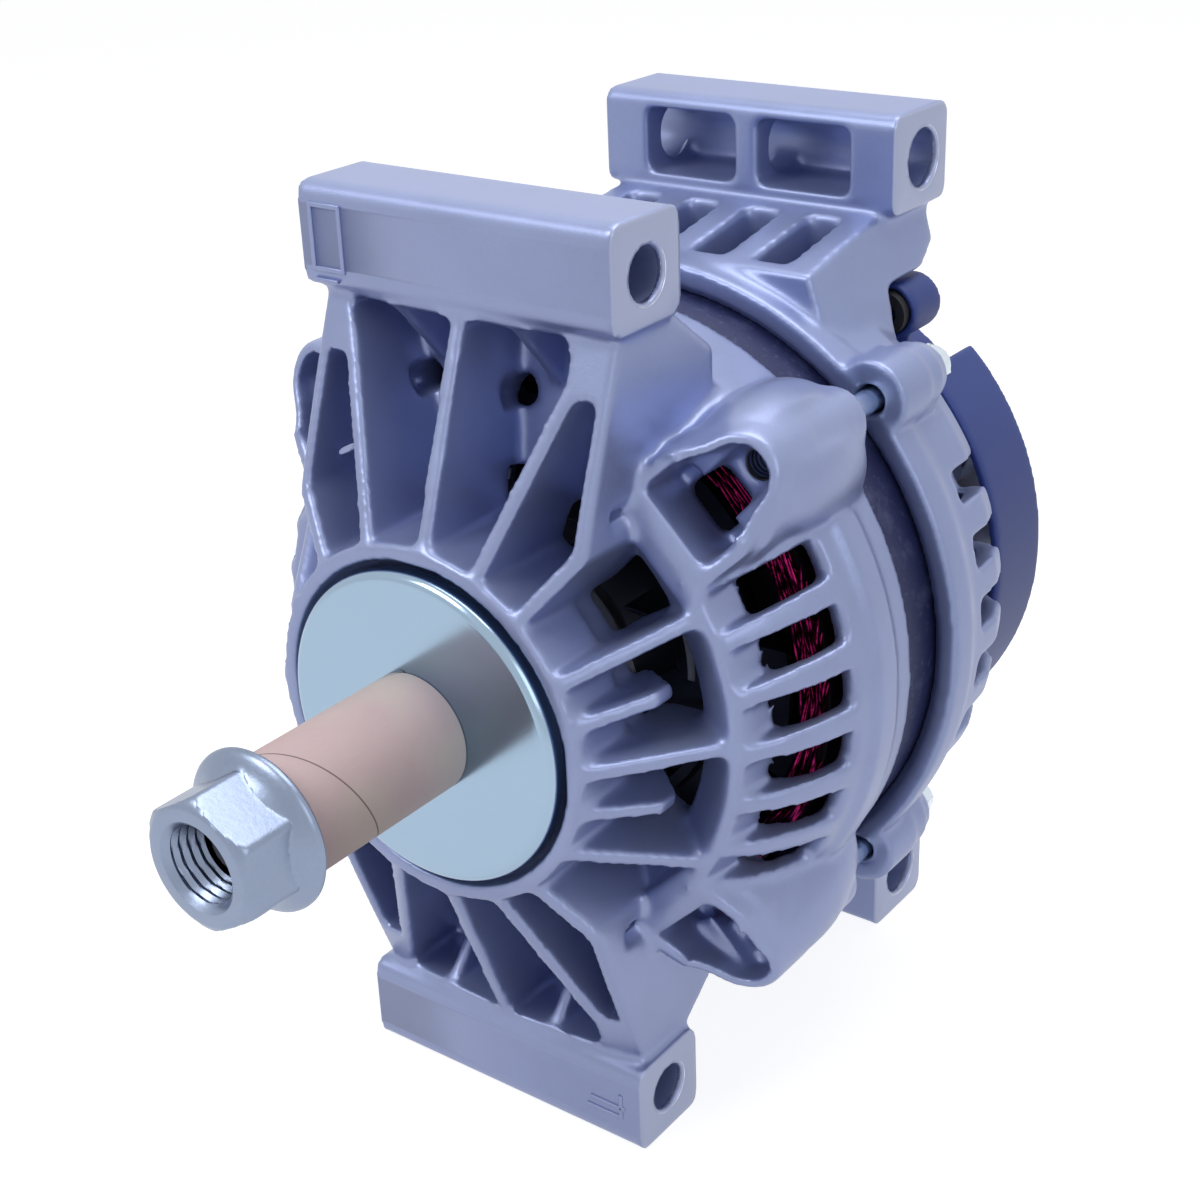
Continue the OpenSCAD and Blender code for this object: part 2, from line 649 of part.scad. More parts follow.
module rear_pocket(x0, x1) front_plate(rear_block_front_y - over, rear_block_front_y + rear_pocket_depth)
    polygon(rounded(box_points(x0, x1, rear_pocket_z0, rear_pocket_z1), 1.8, 3));

module rear_shoulder_slot() radial_plate(rear_slot_w) polygon([
    [rear_slot_in_r, rear_wall_y + 3], [rear_slot_in_r, rear_slot_front_y + 8], [rear_slot_in_r + 3, rear_slot_front_y],
    [rear_ring_r + 4, rear_slot_front_y], [rear_ring_r + 4, rear_wall_y + 3]]);

module rear_lobe() {
    front_plate(rear_lobe_y, rear_lobe_back_y - 4)
        polygon(box_points(stator_r - 1, bolt_circle_r, -rear_lobe_r, rear_lobe_r));
    translate([bolt_circle_r, 0, 0]) for (s = [[0, 11], [0.7, 5], [1.6, 1.8], [2.6, -0.4]])
        rod(rear_lobe_r - s[0], rear_lobe_y, rear_lobe_back_y - s[1]);
}

module slip_ring_end_frame() color("slategray") difference() {
    $fn = casting_fn;
    union() {
        difference() {
            union() {
                rear_outer();
                upright_and_mirrored() {
                    neck();
                    mounting_block(rear_block_front_y, rear_block_back_y, rear_block_z0);
                }
                for (a = bolt_angles) at_angle(a) rear_lobe();
            }
            rear_cavity();
        }
        rod(rear_hub_r, rear_brg_front_y - 1, rear_hub_back_y);
        for (p = cover_posts) rod_at(p[0], p[1], cover_post_r, rear_wall_y - 1, cover_back_y - cover_wall - slide);
        for (a = neg_post_angles) at_angle(a) translate([neg_post_circle, 0, 0]) rod(post_r, rear_wall_y - 1, neg_sink_y);
        for (a = pos_post_angles) at_angle(a) translate([pos_post_circle, 0, 0]) rod(post_r, rear_wall_y - 1, neg_sink_y);
        for (s = [-1, 1]) rod_at(reg_x + s * reg_screw_x, reg_z, 3.6, rear_wall_y - 1, reg_y);
        for (s = [-1, 1]) rod_at((holder_x0 + holder_x1) / 2, s * (holder_half_z + holder_ear / 2), 3.2,
                                 rear_wall_y - 1, slip_front_y);
        rod_at(stud_x, stud_z, insulator_r, rear_wall_y - 1, rear_wall_y + 1.4);
    }
    upright_and_mirrored() {
        neck_cells();
        rear_pocket(-rear_pocket_half, -rear_web_half);
        rear_pocket(rear_web_half, rear_pocket_half);
        mounting_bore(rear_bore_r, bore_pitch_y);
    }
    both_sides() for (a = rear_slots) at_angle(a) rear_shoulder_slot();
    for (a = bolt_angles) at_angle(a) translate([bolt_circle_r, 0, 0]) {
        rod(rear_lobe_hole_r, rear_ring_y - over, rear_lobe_back_y + over);
        rod(bolt_seat_r, rear_lobe_back_y, rear_wall_y - 2.5);
    }
    for (v = vents) front_plate(rear_inner_y - over, rear_wall_y + over)
        polygon(rounded(sector(vent_r0, vent_r1, v[0], v[1], 4), 1.5, 2));
    rod(rear_brg_r, rear_brg_front_y - over - 1, rear_brg_back_y);
    rod(slip_ring_r + 3, rear_brg_front_y, rear_hub_back_y + over);
    for (p = cover_posts) rod_at(p[0], p[1], cover_screw_r, cover_back_y - 14, cover_back_y);
    for (a = neg_post_angles) at_angle(a) translate([neg_post_circle, 0, 0])
        rod(post_hole_r, rear_wall_y - 3, neg_sink_y + over);
    for (a = pos_post_angles) at_angle(a) translate([pos_post_circle, 0, 0])
        rod(post_hole_r, rear_wall_y - 3, neg_sink_y + over);
    for (a = lead_angles) at_angle(a) translate([lead_circle, 0, 0])
        rod(lead_r + clear, rear_inner_y - over, rear_wall_y + over);
    for (s = [-1, 1]) rod_at(reg_x + s * reg_screw_x, reg_z, 2 + fit, rear_wall_y - 3, reg_y + over);
    for (s = [-1, 1]) rod_at((holder_x0 + holder_x1) / 2, s * (holder_half_z + holder_ear / 2),
                             holder_screw_r + fit, slip_front_y - holder_grip - slide, slip_front_y + over);
    rod_at(stud_x, stud_z, stud_r + 1.6, rear_inner_y - over, rear_wall_y + 2);
}

// Stator
module stator_core() color("midnightblue") difference() {
    ring(stator_bore_r, stator_r, stack_front_y, stack_back_y);
    for (i = [0:slot_count - 1]) at_angle(i * 360 / slot_count) front_plate(stack_front_y - over, stack_back_y + over)
        polygon(box_points(stator_bore_r - over, stator_r - 4.4, -slot_w / 2, slot_w / 2));
}
module stator_winding() color("orchid") {
    turned([[stator_bore_r + 2, stack_front_y - slide], [stator_bore_r + 2, 20], [stator_bore_r + 4, 17.6],
            [stator_bore_r + 6.8, 18.2], [stator_bore_r + 8.4, 23.4], [stator_r - 4.8, 28],
            [stator_r - 4.8, stack_front_y - slide]]);
    turned([[stator_bore_r + 2, stack_back_y + slide], [stator_bore_r + 2, 74], [stator_bore_r + 4, 77],
            [stator_bore_r + 6.8, 76.6], [stator_r - 5.6, 71], [stator_r - 4.8, 66], [stator_r - 4.8, stack_back_y + slide]]);
    for (i = [0:slot_count - 1]) at_angle(i * 360 / slot_count)
        front_plate(stack_front_y - over, stack_back_y + over)
            polygon(box_points(stator_bore_r + 2.2, stator_r - 5, -slot_w / 2 + 0.3, slot_w / 2 - 0.3));
}
module phase_leads() color("indianred") for (a = lead_angles) at_angle(a)
    translate([lead_circle, 0, 0]) rod(lead_r, lead_start_y, pos_sink_y);

// Bearings
module outer_race(r, t, w, y, pitch, ball) color("silver") difference() {
    ring(r - t, r - slide / 4, y, y + w);
    rotate([-90, 0, 0]) translate([0, 0, y + w / 2]) rotate_extrude() translate([pitch, 0]) circle(ball + groove_gap);
}
module inner_race(bore, t, w, y, pitch, ball) color("silver") difference() {
    ring(bore + slide / 4, bore + t, y, y + w);
    rotate([-90, 0, 0]) translate([0, 0, y + w / 2]) rotate_extrude() translate([pitch, 0]) circle(ball + groove_gap);
}
module ball_set(pitch, ball, y) color("gainsboro") {
    for (i = [0:ball_count - 1]) at_angle(i * 360 / ball_count) translate([pitch, y, 0]) sphere(ball);
    ring(pitch - cage_t / 2, pitch + cage_t / 2, y - cage_w / 2, y + cage_w / 2);
}
module front_bearing_outer_race()
    outer_race(front_brg_r, race_t + 2, front_brg_w, brg_front_y, front_pitch_r, front_ball_r);
module front_bearing_inner_race()
    inner_race(front_brg_bore_r, race_t + 2, front_brg_w, brg_front_y, front_pitch_r, front_ball_r);
module front_bearing_balls() ball_set(front_pitch_r, front_ball_r, brg_front_y + front_brg_w / 2);
module rear_bearing_outer_race()
    outer_race(rear_brg_r, rear_race_t + 1.4, rear_brg_w, rear_brg_front_y, rear_pitch_r, rear_ball_r);
module rear_bearing_inner_race()
    inner_race(rear_brg_bore_r, rear_race_t + 1.4, rear_brg_w, rear_brg_front_y, rear_pitch_r, rear_ball_r);
module rear_bearing_balls() ball_set(rear_pitch_r, rear_ball_r, rear_brg_front_y + rear_brg_w / 2);
module bearing_retainer() color("lightslategray") difference() {
    ring(front_brg_r - 5, retainer_r, brg_back_y, brg_back_y + retainer_t);
    for (a = retainer_angles) at_angle(a) translate([retainer_screw_circle, 0, 0])
        rod(retainer_screw_r + fit, brg_back_y - over, brg_back_y + retainer_t + over);
}
module retainer_screws() color("gray") for (a = retainer_angles) at_angle(a) translate([retainer_screw_circle, 0, 0]) {
    rod(retainer_screw_r - fit, brg_back_y - 7, brg_back_y + retainer_t);
    rod(retainer_head_r, brg_back_y + retainer_t, brg_back_y + retainer_t + 2);
}

// Fasteners that join the castings
module through_bolts() color("lightblue") for (a = bolt_angles) at_angle(a) translate([bolt_circle_r, 0, 0]) {
    rod(bolt_r, lobe_floor_y + 8.4, rear_lobe_back_y + 2);
    rod(bolt_head_af * 0.56, rear_lobe_back_y, rear_lobe_back_y + 1);
    hexagon(bolt_head_af, rear_lobe_back_y + 1, rear_lobe_back_y + 4.6);
}

// Rotor
module rotor_shaft() color("silver") turned([
    [0, shaft_tip_y], [thread_r - 1, shaft_tip_y], [thread_r, shaft_tip_y + 1], [thread_r, nut_face_y + 1.5],
    [pulley_seat_r - fit, nut_face_y + 1.5], [pulley_seat_r - fit, brg_front_y + 0.4],
    [front_brg_bore_r, brg_front_y + 0.4], [front_brg_bore_r, brg_back_y + 0.2], [front_brg_bore_r + 3, brg_back_y + 0.2],
    [front_brg_bore_r + 3, brg_back_y + 6], [core_seat_r, brg_back_y + 6], [core_seat_r, claw_back_y],
    [rear_brg_bore_r + 2.4, claw_back_y], [rear_brg_bore_r + 2.4, rear_brg_front_y - 0.2],
    [rear_brg_bore_r, rear_brg_front_y - 0.2], [rear_brg_bore_r, rear_brg_back_y], [slip_seat_r, rear_brg_back_y + 0.6],
    [slip_seat_r, shaft_back_y], [0, shaft_back_y]]);

module claw_finger(y0, y1, y_tip) intersection() {
    translate([0, 0, 0]) rotate([90, 0, 90]) linear_extrude(claw_r + over) polygon([
        [y0, -finger_base_w / 2], [y1, -finger_base_w / 2], [y_tip, -finger_tip_w / 2],
        [y_tip, finger_tip_w / 2], [y1, finger_base_w / 2], [y0, finger_base_w / 2]]);
    ring(coil_r + 4.6, claw_r, min(y0, y_tip) - over, max(y0, y_tip) + over);
}
module pole_claw(front) {
    y0 = front ? claw_front_y : claw_back_y;
    s = front ? 1 : -1;
    difference() {
        union() {
            ring(core_seat_r + fit, coil_r + 6, min(y0, y0 + s * plate_t), max(y0, y0 + s * plate_t));
            ring(core_seat_r + fit, pole_core_r, min(y0, stack_mid_y - s * fit), max(y0, stack_mid_y - s * fit));
            for (i = [0:claw_count - 1]) at_angle((i + (front ? 0 : 0.5)) * 360 / claw_count)
                claw_finger(y0, y0 + s * plate_t, y0 + s * (claw_len - plate_t + 6));
        }
        for (i = [0:claw_count - 1]) at_angle((i + (front ? 0.5 : 0)) * 360 / claw_count)
            front_plate(min(y0, y0 + s * plate_t) - over, max(y0, y0 + s * plate_t) + over)
                polygon(rounded([[coil_r + 1.6, -7], [coil_r + 30, -18], [coil_r + 30, 18], [coil_r + 1.6, 7]], 2, 2));
    }
}
module front_pole_claw() color("dimgray") pole_claw(true);
module rear_pole_claw() color("dimgray") pole_claw(false);
coil_y0 = claw_front_y + plate_t + clear;
coil_y1 = claw_back_y - plate_t - clear;
module coil_bobbin() color("tan") difference() {
    ring(pole_core_r + slide, coil_r + 1, coil_y0, coil_y1);
    ring(pole_core_r + slide + bobbin_t, coil_r + 2, coil_y0 + bobbin_t, coil_y1 - bobbin_t);
}
module field_coil() color("chocolate")
    ring(pole_core_r + 2 * slide + bobbin_t, coil_r, coil_y0 + bobbin_t + slide, coil_y1 - bobbin_t - slide);

module blade(in_r, y0, y1) translate([in_r, y0, 0]) rotate([-90, 0, 0]) rotate([0, 0, blade_lean])
    translate([0, -blade_t / 2, 0]) cube([blade_out_r - in_r - 1, blade_t, y1 - y0]);
module front_fan() color("darkslategray") {
    y = claw_front_y - slide;
    ring(core_seat_r + 1, blade_out_r - 3, y - fan_plate_t, y);
    for (i = [0:blade_count - 1]) at_angle(i * 360 / blade_count)
        blade(front_blade_in_r, y - fan_plate_t - front_blade_h, y - fan_plate_t / 2);
}
module rear_fan() color("darkslategray") {
    y = claw_back_y + slide;
    ring(core_seat_r + 1, blade_out_r - 3, y, y + fan_plate_t);
    for (i = [0:blade_count - 1]) at_angle(i * 360 / blade_count + 14)
        blade(rear_blade_in_r, y + fan_plate_t / 2, y + fan_plate_t + rear_blade_h);
}
module cap_spacer() color("gray")
    ring(pulley_seat_r + fit, front_brg_bore_r + 2.6, -cap_reach + cap_t, brg_front_y);
module dust_cap() color("powderblue") turned([
    [pulley_seat_r + fit, -cap_reach], [cap_r - 1.4, -cap_reach], [cap_r - 0.4, -cap_reach + 0.4],
    [cap_r, -cap_reach + 1.4], [cap_r, -cap_reach + cap_rim], [cap_r - 1.4, -cap_reach + cap_rim],
    [cap_r - 1.4, -cap_reach + cap_t], [pulley_seat_r + fit, -cap_reach + cap_t]]);
module shipping_sleeve() color("rosybrown") ring(pulley_seat_r + slide, sleeve_r, nut_face_y, -cap_reach);
module pulley_nut() color("silver") difference() {
    union() {
        turned([[0, nut_face_y - nut_flange_h], [nut_af / 2 + 0.5, nut_face_y - nut_flange_h - 1.6],
                [nut_flange_r - 0.8, nut_face_y - nut_flange_h + 0.9], [nut_flange_r, nut_face_y - nut_flange_h + 1.7],
                [nut_flange_r, nut_face_y], [0, nut_face_y]]);
        intersection() {
            hexagon(nut_af, nut_end_y, nut_face_y - 1);
            turned([[0, nut_end_y], [nut_af / 2 - 0.3, nut_end_y], [nut_af / 2 + 1.9, nut_end_y + nut_hex_chamfer],
                    [nut_af / 2 + 3, nut_face_y], [0, nut_face_y]]);
        }
    }
    rod(nut_bore_r, nut_end_y - over, nut_face_y + over);
    translate([0, nut_end_y - 0.01, 0]) rotate([-90, 0, 0]) cylinder(r1 = nut_bore_r + 1.3, r2 = nut_bore_r - 0.2, h = 1.5);
}

// Slip rings and brushes
module slip_ring_sleeve() color("black") difference() {
    ring(slip_seat_r + fit, slip_ring_r - 0.4, slip_front_y, slip_back_y);
    for (i = [0, 1]) ring(slip_sleeve_r, slip_ring_r + over, slip_front_y + slip_gap + i * (slip_ring_w + slip_gap),
                          slip_front_y + slip_gap + slip_ring_w + i * (slip_ring_w + slip_gap));
}
module slip_rings() color("peru") for (i = [0, 1])
    ring(slip_sleeve_r + fit, slip_ring_r, slip_front_y + slip_gap + fit + i * (slip_ring_w + slip_gap),
         slip_front_y + slip_gap - fit + slip_ring_w + i * (slip_ring_w + slip_gap));
module brush(y) difference() {
    translate([-slip_ring_r - fit - brush_len, y - brush_t / 2, -brush_w / 2]) cube([brush_len + 1.2, brush_t, brush_w]);
    rod(slip_ring_r + fit, y - brush_t, y + brush_t);
}
module inner_brush() color("dimgray") brush(brush_y[0]);
module outer_brush() color("dimgray") brush(brush_y[1]);
holder_y0 = slip_front_y;
holder_y1 = brush_y[1] + brush_t / 2 + holder_wall;
module brush_holder() color("darkslategray") difference() {
    union() {
        translate([holder_x0, holder_y0, -holder_half_z])
            cube([holder_x1 - holder_x0, holder_y1 - holder_y0, 2 * holder_half_z]);
        translate([(holder_x0 + holder_x1) / 2 - 5, holder_y0, -holder_half_z - holder_ear])
            cube([10, 4, 2 * (holder_half_z + holder_ear)]);
    }
    for (y = brush_y) translate([holder_x0 + holder_wall, y - brush_t / 2 - slide, -brush_w / 2 - slide])
        cube([holder_x1 - holder_x0, brush_t + 2 * slide, brush_w + 2 * slide]);
    for (s = [-1, 1]) rod_at((holder_x0 + holder_x1) / 2, s * (holder_half_z + holder_ear / 2), holder_screw_r + fit,
                             holder_y0 - over, holder_y1);
}
module brush_holder_screws() color("gray") for (s = [-1, 1])
    translate([(holder_x0 + holder_x1) / 2, 0, s * (holder_half_z + holder_ear / 2)]) {
        rod(holder_screw_r - fit, holder_y0 - holder_grip, holder_y0 + 4.4);
        rod(3.1, holder_y0 + 4, holder_y0 + 6.4);
    }
module brush_spring(y) {
    x0 = holder_x0 + holder_wall;
    x1 = -slip_ring_r - fit - brush_len;
    for (i = [0:spring_turns - 1])
        translate([x0 + spring_wire_r + (x1 - x0 - 2 * spring_wire_r) * i / (spring_turns - 1), y, 0])
            rotate([0, 90, 0]) rotate_extrude() translate([spring_r, 0]) circle(spring_wire_r);
    translate([x0 + spring_wire_r, y + spring_r, 0]) rotate([0, 90, 0])
        cylinder(r = spring_wire_r * 0.8, h = x1 - x0 - 2 * spring_wire_r);
}
module inner_brush_spring() color("silver") brush_spring(brush_y[0]);
module outer_brush_spring() color("silver") brush_spring(brush_y[1]);

// Rectifier and regulator
module negative_heat_sink() color("darkgray") difference() {
    front_plate(neg_sink_y, neg_sink_y + sink_t)
        polygon(sector(neg_in_r, neg_out_r, -neg_half_angle, neg_half_angle, 24));
    for (a = neg_diode_angles) at_angle(a) translate([neg_diode_circle, 0, 0])
        rod(diode_r, neg_sink_y - over, neg_sink_y + sink_t + over);
    for (a = neg_post_angles) at_angle(a) translate([neg_post_circle, 0, 0])
        rod(post_hole_r, neg_sink_y - over, neg_sink_y + sink_t + over);
}
module positive_heat_sink() color("darkgray") difference() {
    front_plate(pos_sink_y, pos_sink_y + sink_t)
        polygon(sector(pos_in_r, pos_out_r, -pos_half_angle, pos_half_angle, 24));
    for (a = pos_diode_angles) at_angle(a) translate([pos_diode_circle, 0, 0])
        rod(diode_r, pos_sink_y - over, pos_sink_y + sink_t + over);
    for (a = pos_post_angles) at_angle(a) translate([pos_post_circle, 0, 0])
        rod(post_hole_r, pos_sink_y - over, pos_sink_y + sink_t + over);
}
module heat_sink_posts() color("sienna") {
    for (a = pos_post_angles) at_angle(a) translate([pos_post_circle, 0, 0]) {
        rod(post_hole_r - fit, rear_wall_y - 2.4, pos_sink_y + sink_t + 1);
        rod(post_r, neg_sink_y, pos_sink_y);
        rod(post_r, pos_sink_y + sink_t, pos_sink_y + sink_t + 2);
    }
    for (a = neg_post_angles) at_angle(a) translate([neg_post_circle, 0, 0]) {
        rod(post_hole_r - fit, rear_wall_y - 2.4, neg_sink_y + sink_t + 1);
        rod(post_r, neg_sink_y + sink_t, neg_sink_y + sink_t + 2);
    }
}
module rectifier_diodes() color("gray") {
    for (a = neg_diode_angles) at_angle(a) translate([neg_diode_circle, 0, 0]) {
        rod(diode_r - slide / 4, neg_sink_y, neg_sink_y + diode_len);
        rod(0.8, neg_sink_y + diode_len - over, neg_sink_y + diode_len + 5);
    }
    for (a = pos_diode_angles) at_angle(a) translate([pos_diode_circle, 0, 0]) {
        rod(diode_r - slide / 4, pos_sink_y + sink_t - diode_len, pos_sink_y + sink_t);
        rod(0.8, pos_sink_y + sink_t - diode_len - 1.6, pos_sink_y);
    }
}
module voltage_regulator() color("dimgray") difference() {
    front_plate(reg_y, reg_y + reg_t)
        polygon(rounded(box_points(reg_x - reg_w / 2, reg_x + reg_w / 2, reg_z - reg_h / 2, reg_z + reg_h / 2), 2));
    for (s = [-1, 1]) {
        rod_at(reg_x + s * reg_screw_x, reg_z, 2 + fit, reg_y - over, reg_y + reg_t + over);
        rod_at(reg_x + s * reg_screw_x, reg_z, 4, reg_y + 4, reg_y + reg_t + over);
    }
}
module regulator_screws() color("gray") for (s = [-1, 1]) {
    rod_at(reg_x + s * reg_screw_x, reg_z, 2 - fit, reg_y - 5, reg_y + 5);
    rod_at(reg_x + s * reg_screw_x, reg_z, 3.4, reg_y + 4, reg_y + 6.6);
}
module output_stud() color("silver") translate([stud_x, 0, stud_z]) {
    rod(stud_r, rear_wall_y - 1.6, stud_end_y);
    hexagon(stud_head_af - 2, rear_wall_y + 3.4, rear_wall_y + 7);
}
module output_insulator() color("brown") difference() {
    union() {
        rod_at(stud_x, stud_z, insulator_r, rear_wall_y + 1.4, rear_wall_y + 3.4);
        rod_at(stud_x, stud_z, insulator_r - 0.6, rear_wall_y + 7, cover_back_y + 2);
        rod_at(stud_x, stud_z, stud_r + 1.4, rear_wall_y - 2, rear_wall_y + 2);
    }
    rod_at(stud_x, stud_z, stud_r + fit, rear_wall_y - 4, cover_back_y + 4);
}
module output_nut() color("gainsboro") difference() {
    union() {
        translate([stud_x, 0, stud_z]) hexagon(stud_head_af, cover_back_y + 3.6, cover_back_y + 9.6);
        rod_at(stud_x, stud_z, 8, cover_back_y + 2, cover_back_y + 3.6);
    }
    rod_at(stud_x, stud_z, stud_r + fit, cover_back_y, cover_back_y + 12);
}

// Rear cover
function cover_outline(d) = concat(
    [for (a = [-46:4:46]) polar(cover_r - d, a)],
    [for (a = [47:6.2:134]) polar(cover_neck_r - d, a)],
    [for (a = [134:4:226]) polar(cover_r - d, a)],
    [for (a = [227:6.2:314]) polar(cover_neck_r - d, a)]);
module rear_cover() color("slateblue") difference() {
    union() {
        difference() {
            front_plate(cover_lip_y, cover_back_y) polygon(cover_outline(0));
            front_plate(cover_lip_y - over, cover_back_y - cover_wall) polygon(cover_outline(cover_wall));
        }
        rod_at(connector_x, connector_z, connector_r, connector_y, connector_back_y);
        front_plate(cover_back_y - 13, connector_back_y - 0.6) polygon([
            polar(cover_neck_r - 1.4, 53), polar(cover_neck_r + 5, 56), polar(cover_neck_r + 5, 62),
            polar(cover_neck_r - 1.4, 65)]);
        for (p = cover_posts) rod_at(p[0], p[1], 6, cover_back_y - cover_wall - slide / 2, cover_back_y);
    }
    rod_at(connector_x, connector_z, connector_r - connector_wall, connector_y - over, connector_back_y - 8);
    rod_at(connector_x, connector_z, connector_r - connector_wall, connector_back_y - 6, connector_back_y + over);
    for (p = cover_posts) rod_at(p[0], p[1], cover_screw_r + slide, cover_back_y - cover_wall - over, cover_back_y + over);
    contacts(fit);
    rod_at(stud_x, stud_z, insulator_r, cover_back_y - cover_wall - over, cover_back_y + over);
    for (a = [-60:15:60]) at_angle(a) front_plate(cover_back_y - cover_wall - over, cover_back_y + over)
        polygon(rounded(box_points(24, 50, -2.2, 2.2), 2));
    for (a = [105:15:180]) at_angle(a) front_plate(cover_back_y - cover_wall - over, cover_back_y + over)
        polygon(rounded(box_points(14, 30, -1.8, 1.8), 1.7));
}
module cover_screws() color("gray") for (p = cover_posts) translate([p[0], 0, p[1]]) {
    rod(cover_screw_r - fit, cover_back_y - 12, cover_back_y + 1);
    hexagon(8, cover_back_y, cover_back_y + 3.6);
}
module connector_seal() color("black") ring_at(connector_x, connector_z, connector_r - connector_wall - 2.2,
                                               connector_r - connector_wall - fit, connector_y - 2, connector_y + seal_len);
module ring_at(x, z, r0, r1, y0, y1) translate([x, 0, z]) ring(r0, r1, y0, y1);
module contacts(gap) for (s = [-1, 1])
    translate([connector_x + s * contact_pitch / 2 - contact_t / 2 - gap, connector_y + 4, connector_z - contact_h / 2 - gap])
        cube([contact_t + 2 * gap, connector_back_y - 1.5 - connector_y - 4, contact_h + 2 * gap]);
module connector_pins() color("gold") contacts(0);

drive_end_frame();
slip_ring_end_frame();
stator_core();
stator_winding();
phase_leads();
front_bearing_outer_race();
front_bearing_inner_race();
front_bearing_balls();
bearing_retainer();
retainer_screws();
rear_bearing_outer_race();
rear_bearing_inner_race();
rear_bearing_balls();
through_bolts();
rotor_shaft();
front_pole_claw();
rear_pole_claw();
field_coil();
coil_bobbin();
front_fan();
rear_fan();
cap_spacer();
dust_cap();
shipping_sleeve();
pulley_nut();
slip_ring_sleeve();
slip_rings();
negative_heat_sink();
positive_heat_sink();
heat_sink_posts();
rectifier_diodes();
voltage_regulator();
regulator_screws();
brush_holder();
brush_holder_screws();
inner_brush();
outer_brush();
inner_brush_spring();
outer_brush_spring();
output_stud();
output_insulator();
output_nut();
rear_cover();
cover_screws();
connector_seal();
connector_pins();
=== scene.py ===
"""Looks of a heavy-duty pad-mount alternator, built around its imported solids.

All lengths are in metres in the frame of the solids: X along the mounting bores,
Y along the shaft towards the rear cover, Z up, with the origin on the shaft's axis.
"""

import json
import math

import bmesh
import bpy
import numpy as np
from mathutils import Matrix, Vector

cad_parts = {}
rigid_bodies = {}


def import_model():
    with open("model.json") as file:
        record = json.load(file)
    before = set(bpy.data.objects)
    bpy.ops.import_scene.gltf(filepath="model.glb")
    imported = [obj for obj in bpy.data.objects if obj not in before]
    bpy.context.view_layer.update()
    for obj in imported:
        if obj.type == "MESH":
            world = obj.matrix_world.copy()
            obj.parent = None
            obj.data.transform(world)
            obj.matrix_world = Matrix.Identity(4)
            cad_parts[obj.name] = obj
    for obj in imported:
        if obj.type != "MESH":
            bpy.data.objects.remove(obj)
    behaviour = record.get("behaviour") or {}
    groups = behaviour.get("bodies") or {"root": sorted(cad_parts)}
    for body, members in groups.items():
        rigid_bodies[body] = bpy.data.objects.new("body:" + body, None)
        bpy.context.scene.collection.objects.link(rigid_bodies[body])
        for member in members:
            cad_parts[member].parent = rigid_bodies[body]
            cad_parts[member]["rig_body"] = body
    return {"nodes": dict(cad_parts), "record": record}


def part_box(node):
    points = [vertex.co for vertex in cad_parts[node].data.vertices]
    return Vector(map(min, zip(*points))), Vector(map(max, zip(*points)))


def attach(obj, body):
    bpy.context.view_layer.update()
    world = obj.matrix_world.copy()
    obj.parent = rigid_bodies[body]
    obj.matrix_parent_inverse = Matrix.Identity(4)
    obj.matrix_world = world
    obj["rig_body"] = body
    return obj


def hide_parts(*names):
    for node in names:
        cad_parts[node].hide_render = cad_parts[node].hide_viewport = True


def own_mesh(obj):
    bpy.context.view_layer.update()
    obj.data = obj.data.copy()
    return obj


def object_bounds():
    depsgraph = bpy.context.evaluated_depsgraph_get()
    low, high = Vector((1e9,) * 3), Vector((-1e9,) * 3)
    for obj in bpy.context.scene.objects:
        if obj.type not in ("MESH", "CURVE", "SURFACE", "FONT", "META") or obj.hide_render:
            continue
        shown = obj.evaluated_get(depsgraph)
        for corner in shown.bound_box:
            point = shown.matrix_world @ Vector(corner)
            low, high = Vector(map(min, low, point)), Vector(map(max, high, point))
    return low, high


MM = 0.001
AXIS_Y = Vector((0, 1, 0))

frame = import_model()
nodes = frame["nodes"]
cad_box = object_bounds()


def span_mm(label):
    """A node's lowest and highest corners in mm."""
    low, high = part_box(label)
    return Vector(low) / MM, Vector(high) / MM


# Places taken from the solids, in mm
nut_lo, nut_hi = span_mm("pulley_nut")
sleeve_lo, sleeve_hi = span_mm("shipping_sleeve")
cap_lo, cap_hi = span_mm("dust_cap")
stack_lo, stack_hi = span_mm("stator_core")
winding_lo, winding_hi = span_mm("stator_winding")
fan_lo, fan_hi = span_mm("front_fan")
bolts_lo, bolts_hi = span_mm("through_bolts")
shaft_tip_y = span_mm("rotor_shaft")[0].y
bolt_circle = 73.6
bolt_turns = [math.radians(a) for a in (45, 135, 225, 315)]
block_half, block_low, block_front = 37.0, 78.0, -10.5
bore_z, front_bore_r, rear_bore_r, rear_bore_y, rear_bore_start = 88.9, 5.1, 6.2, 101.6, 26.6


# Node groups and materials

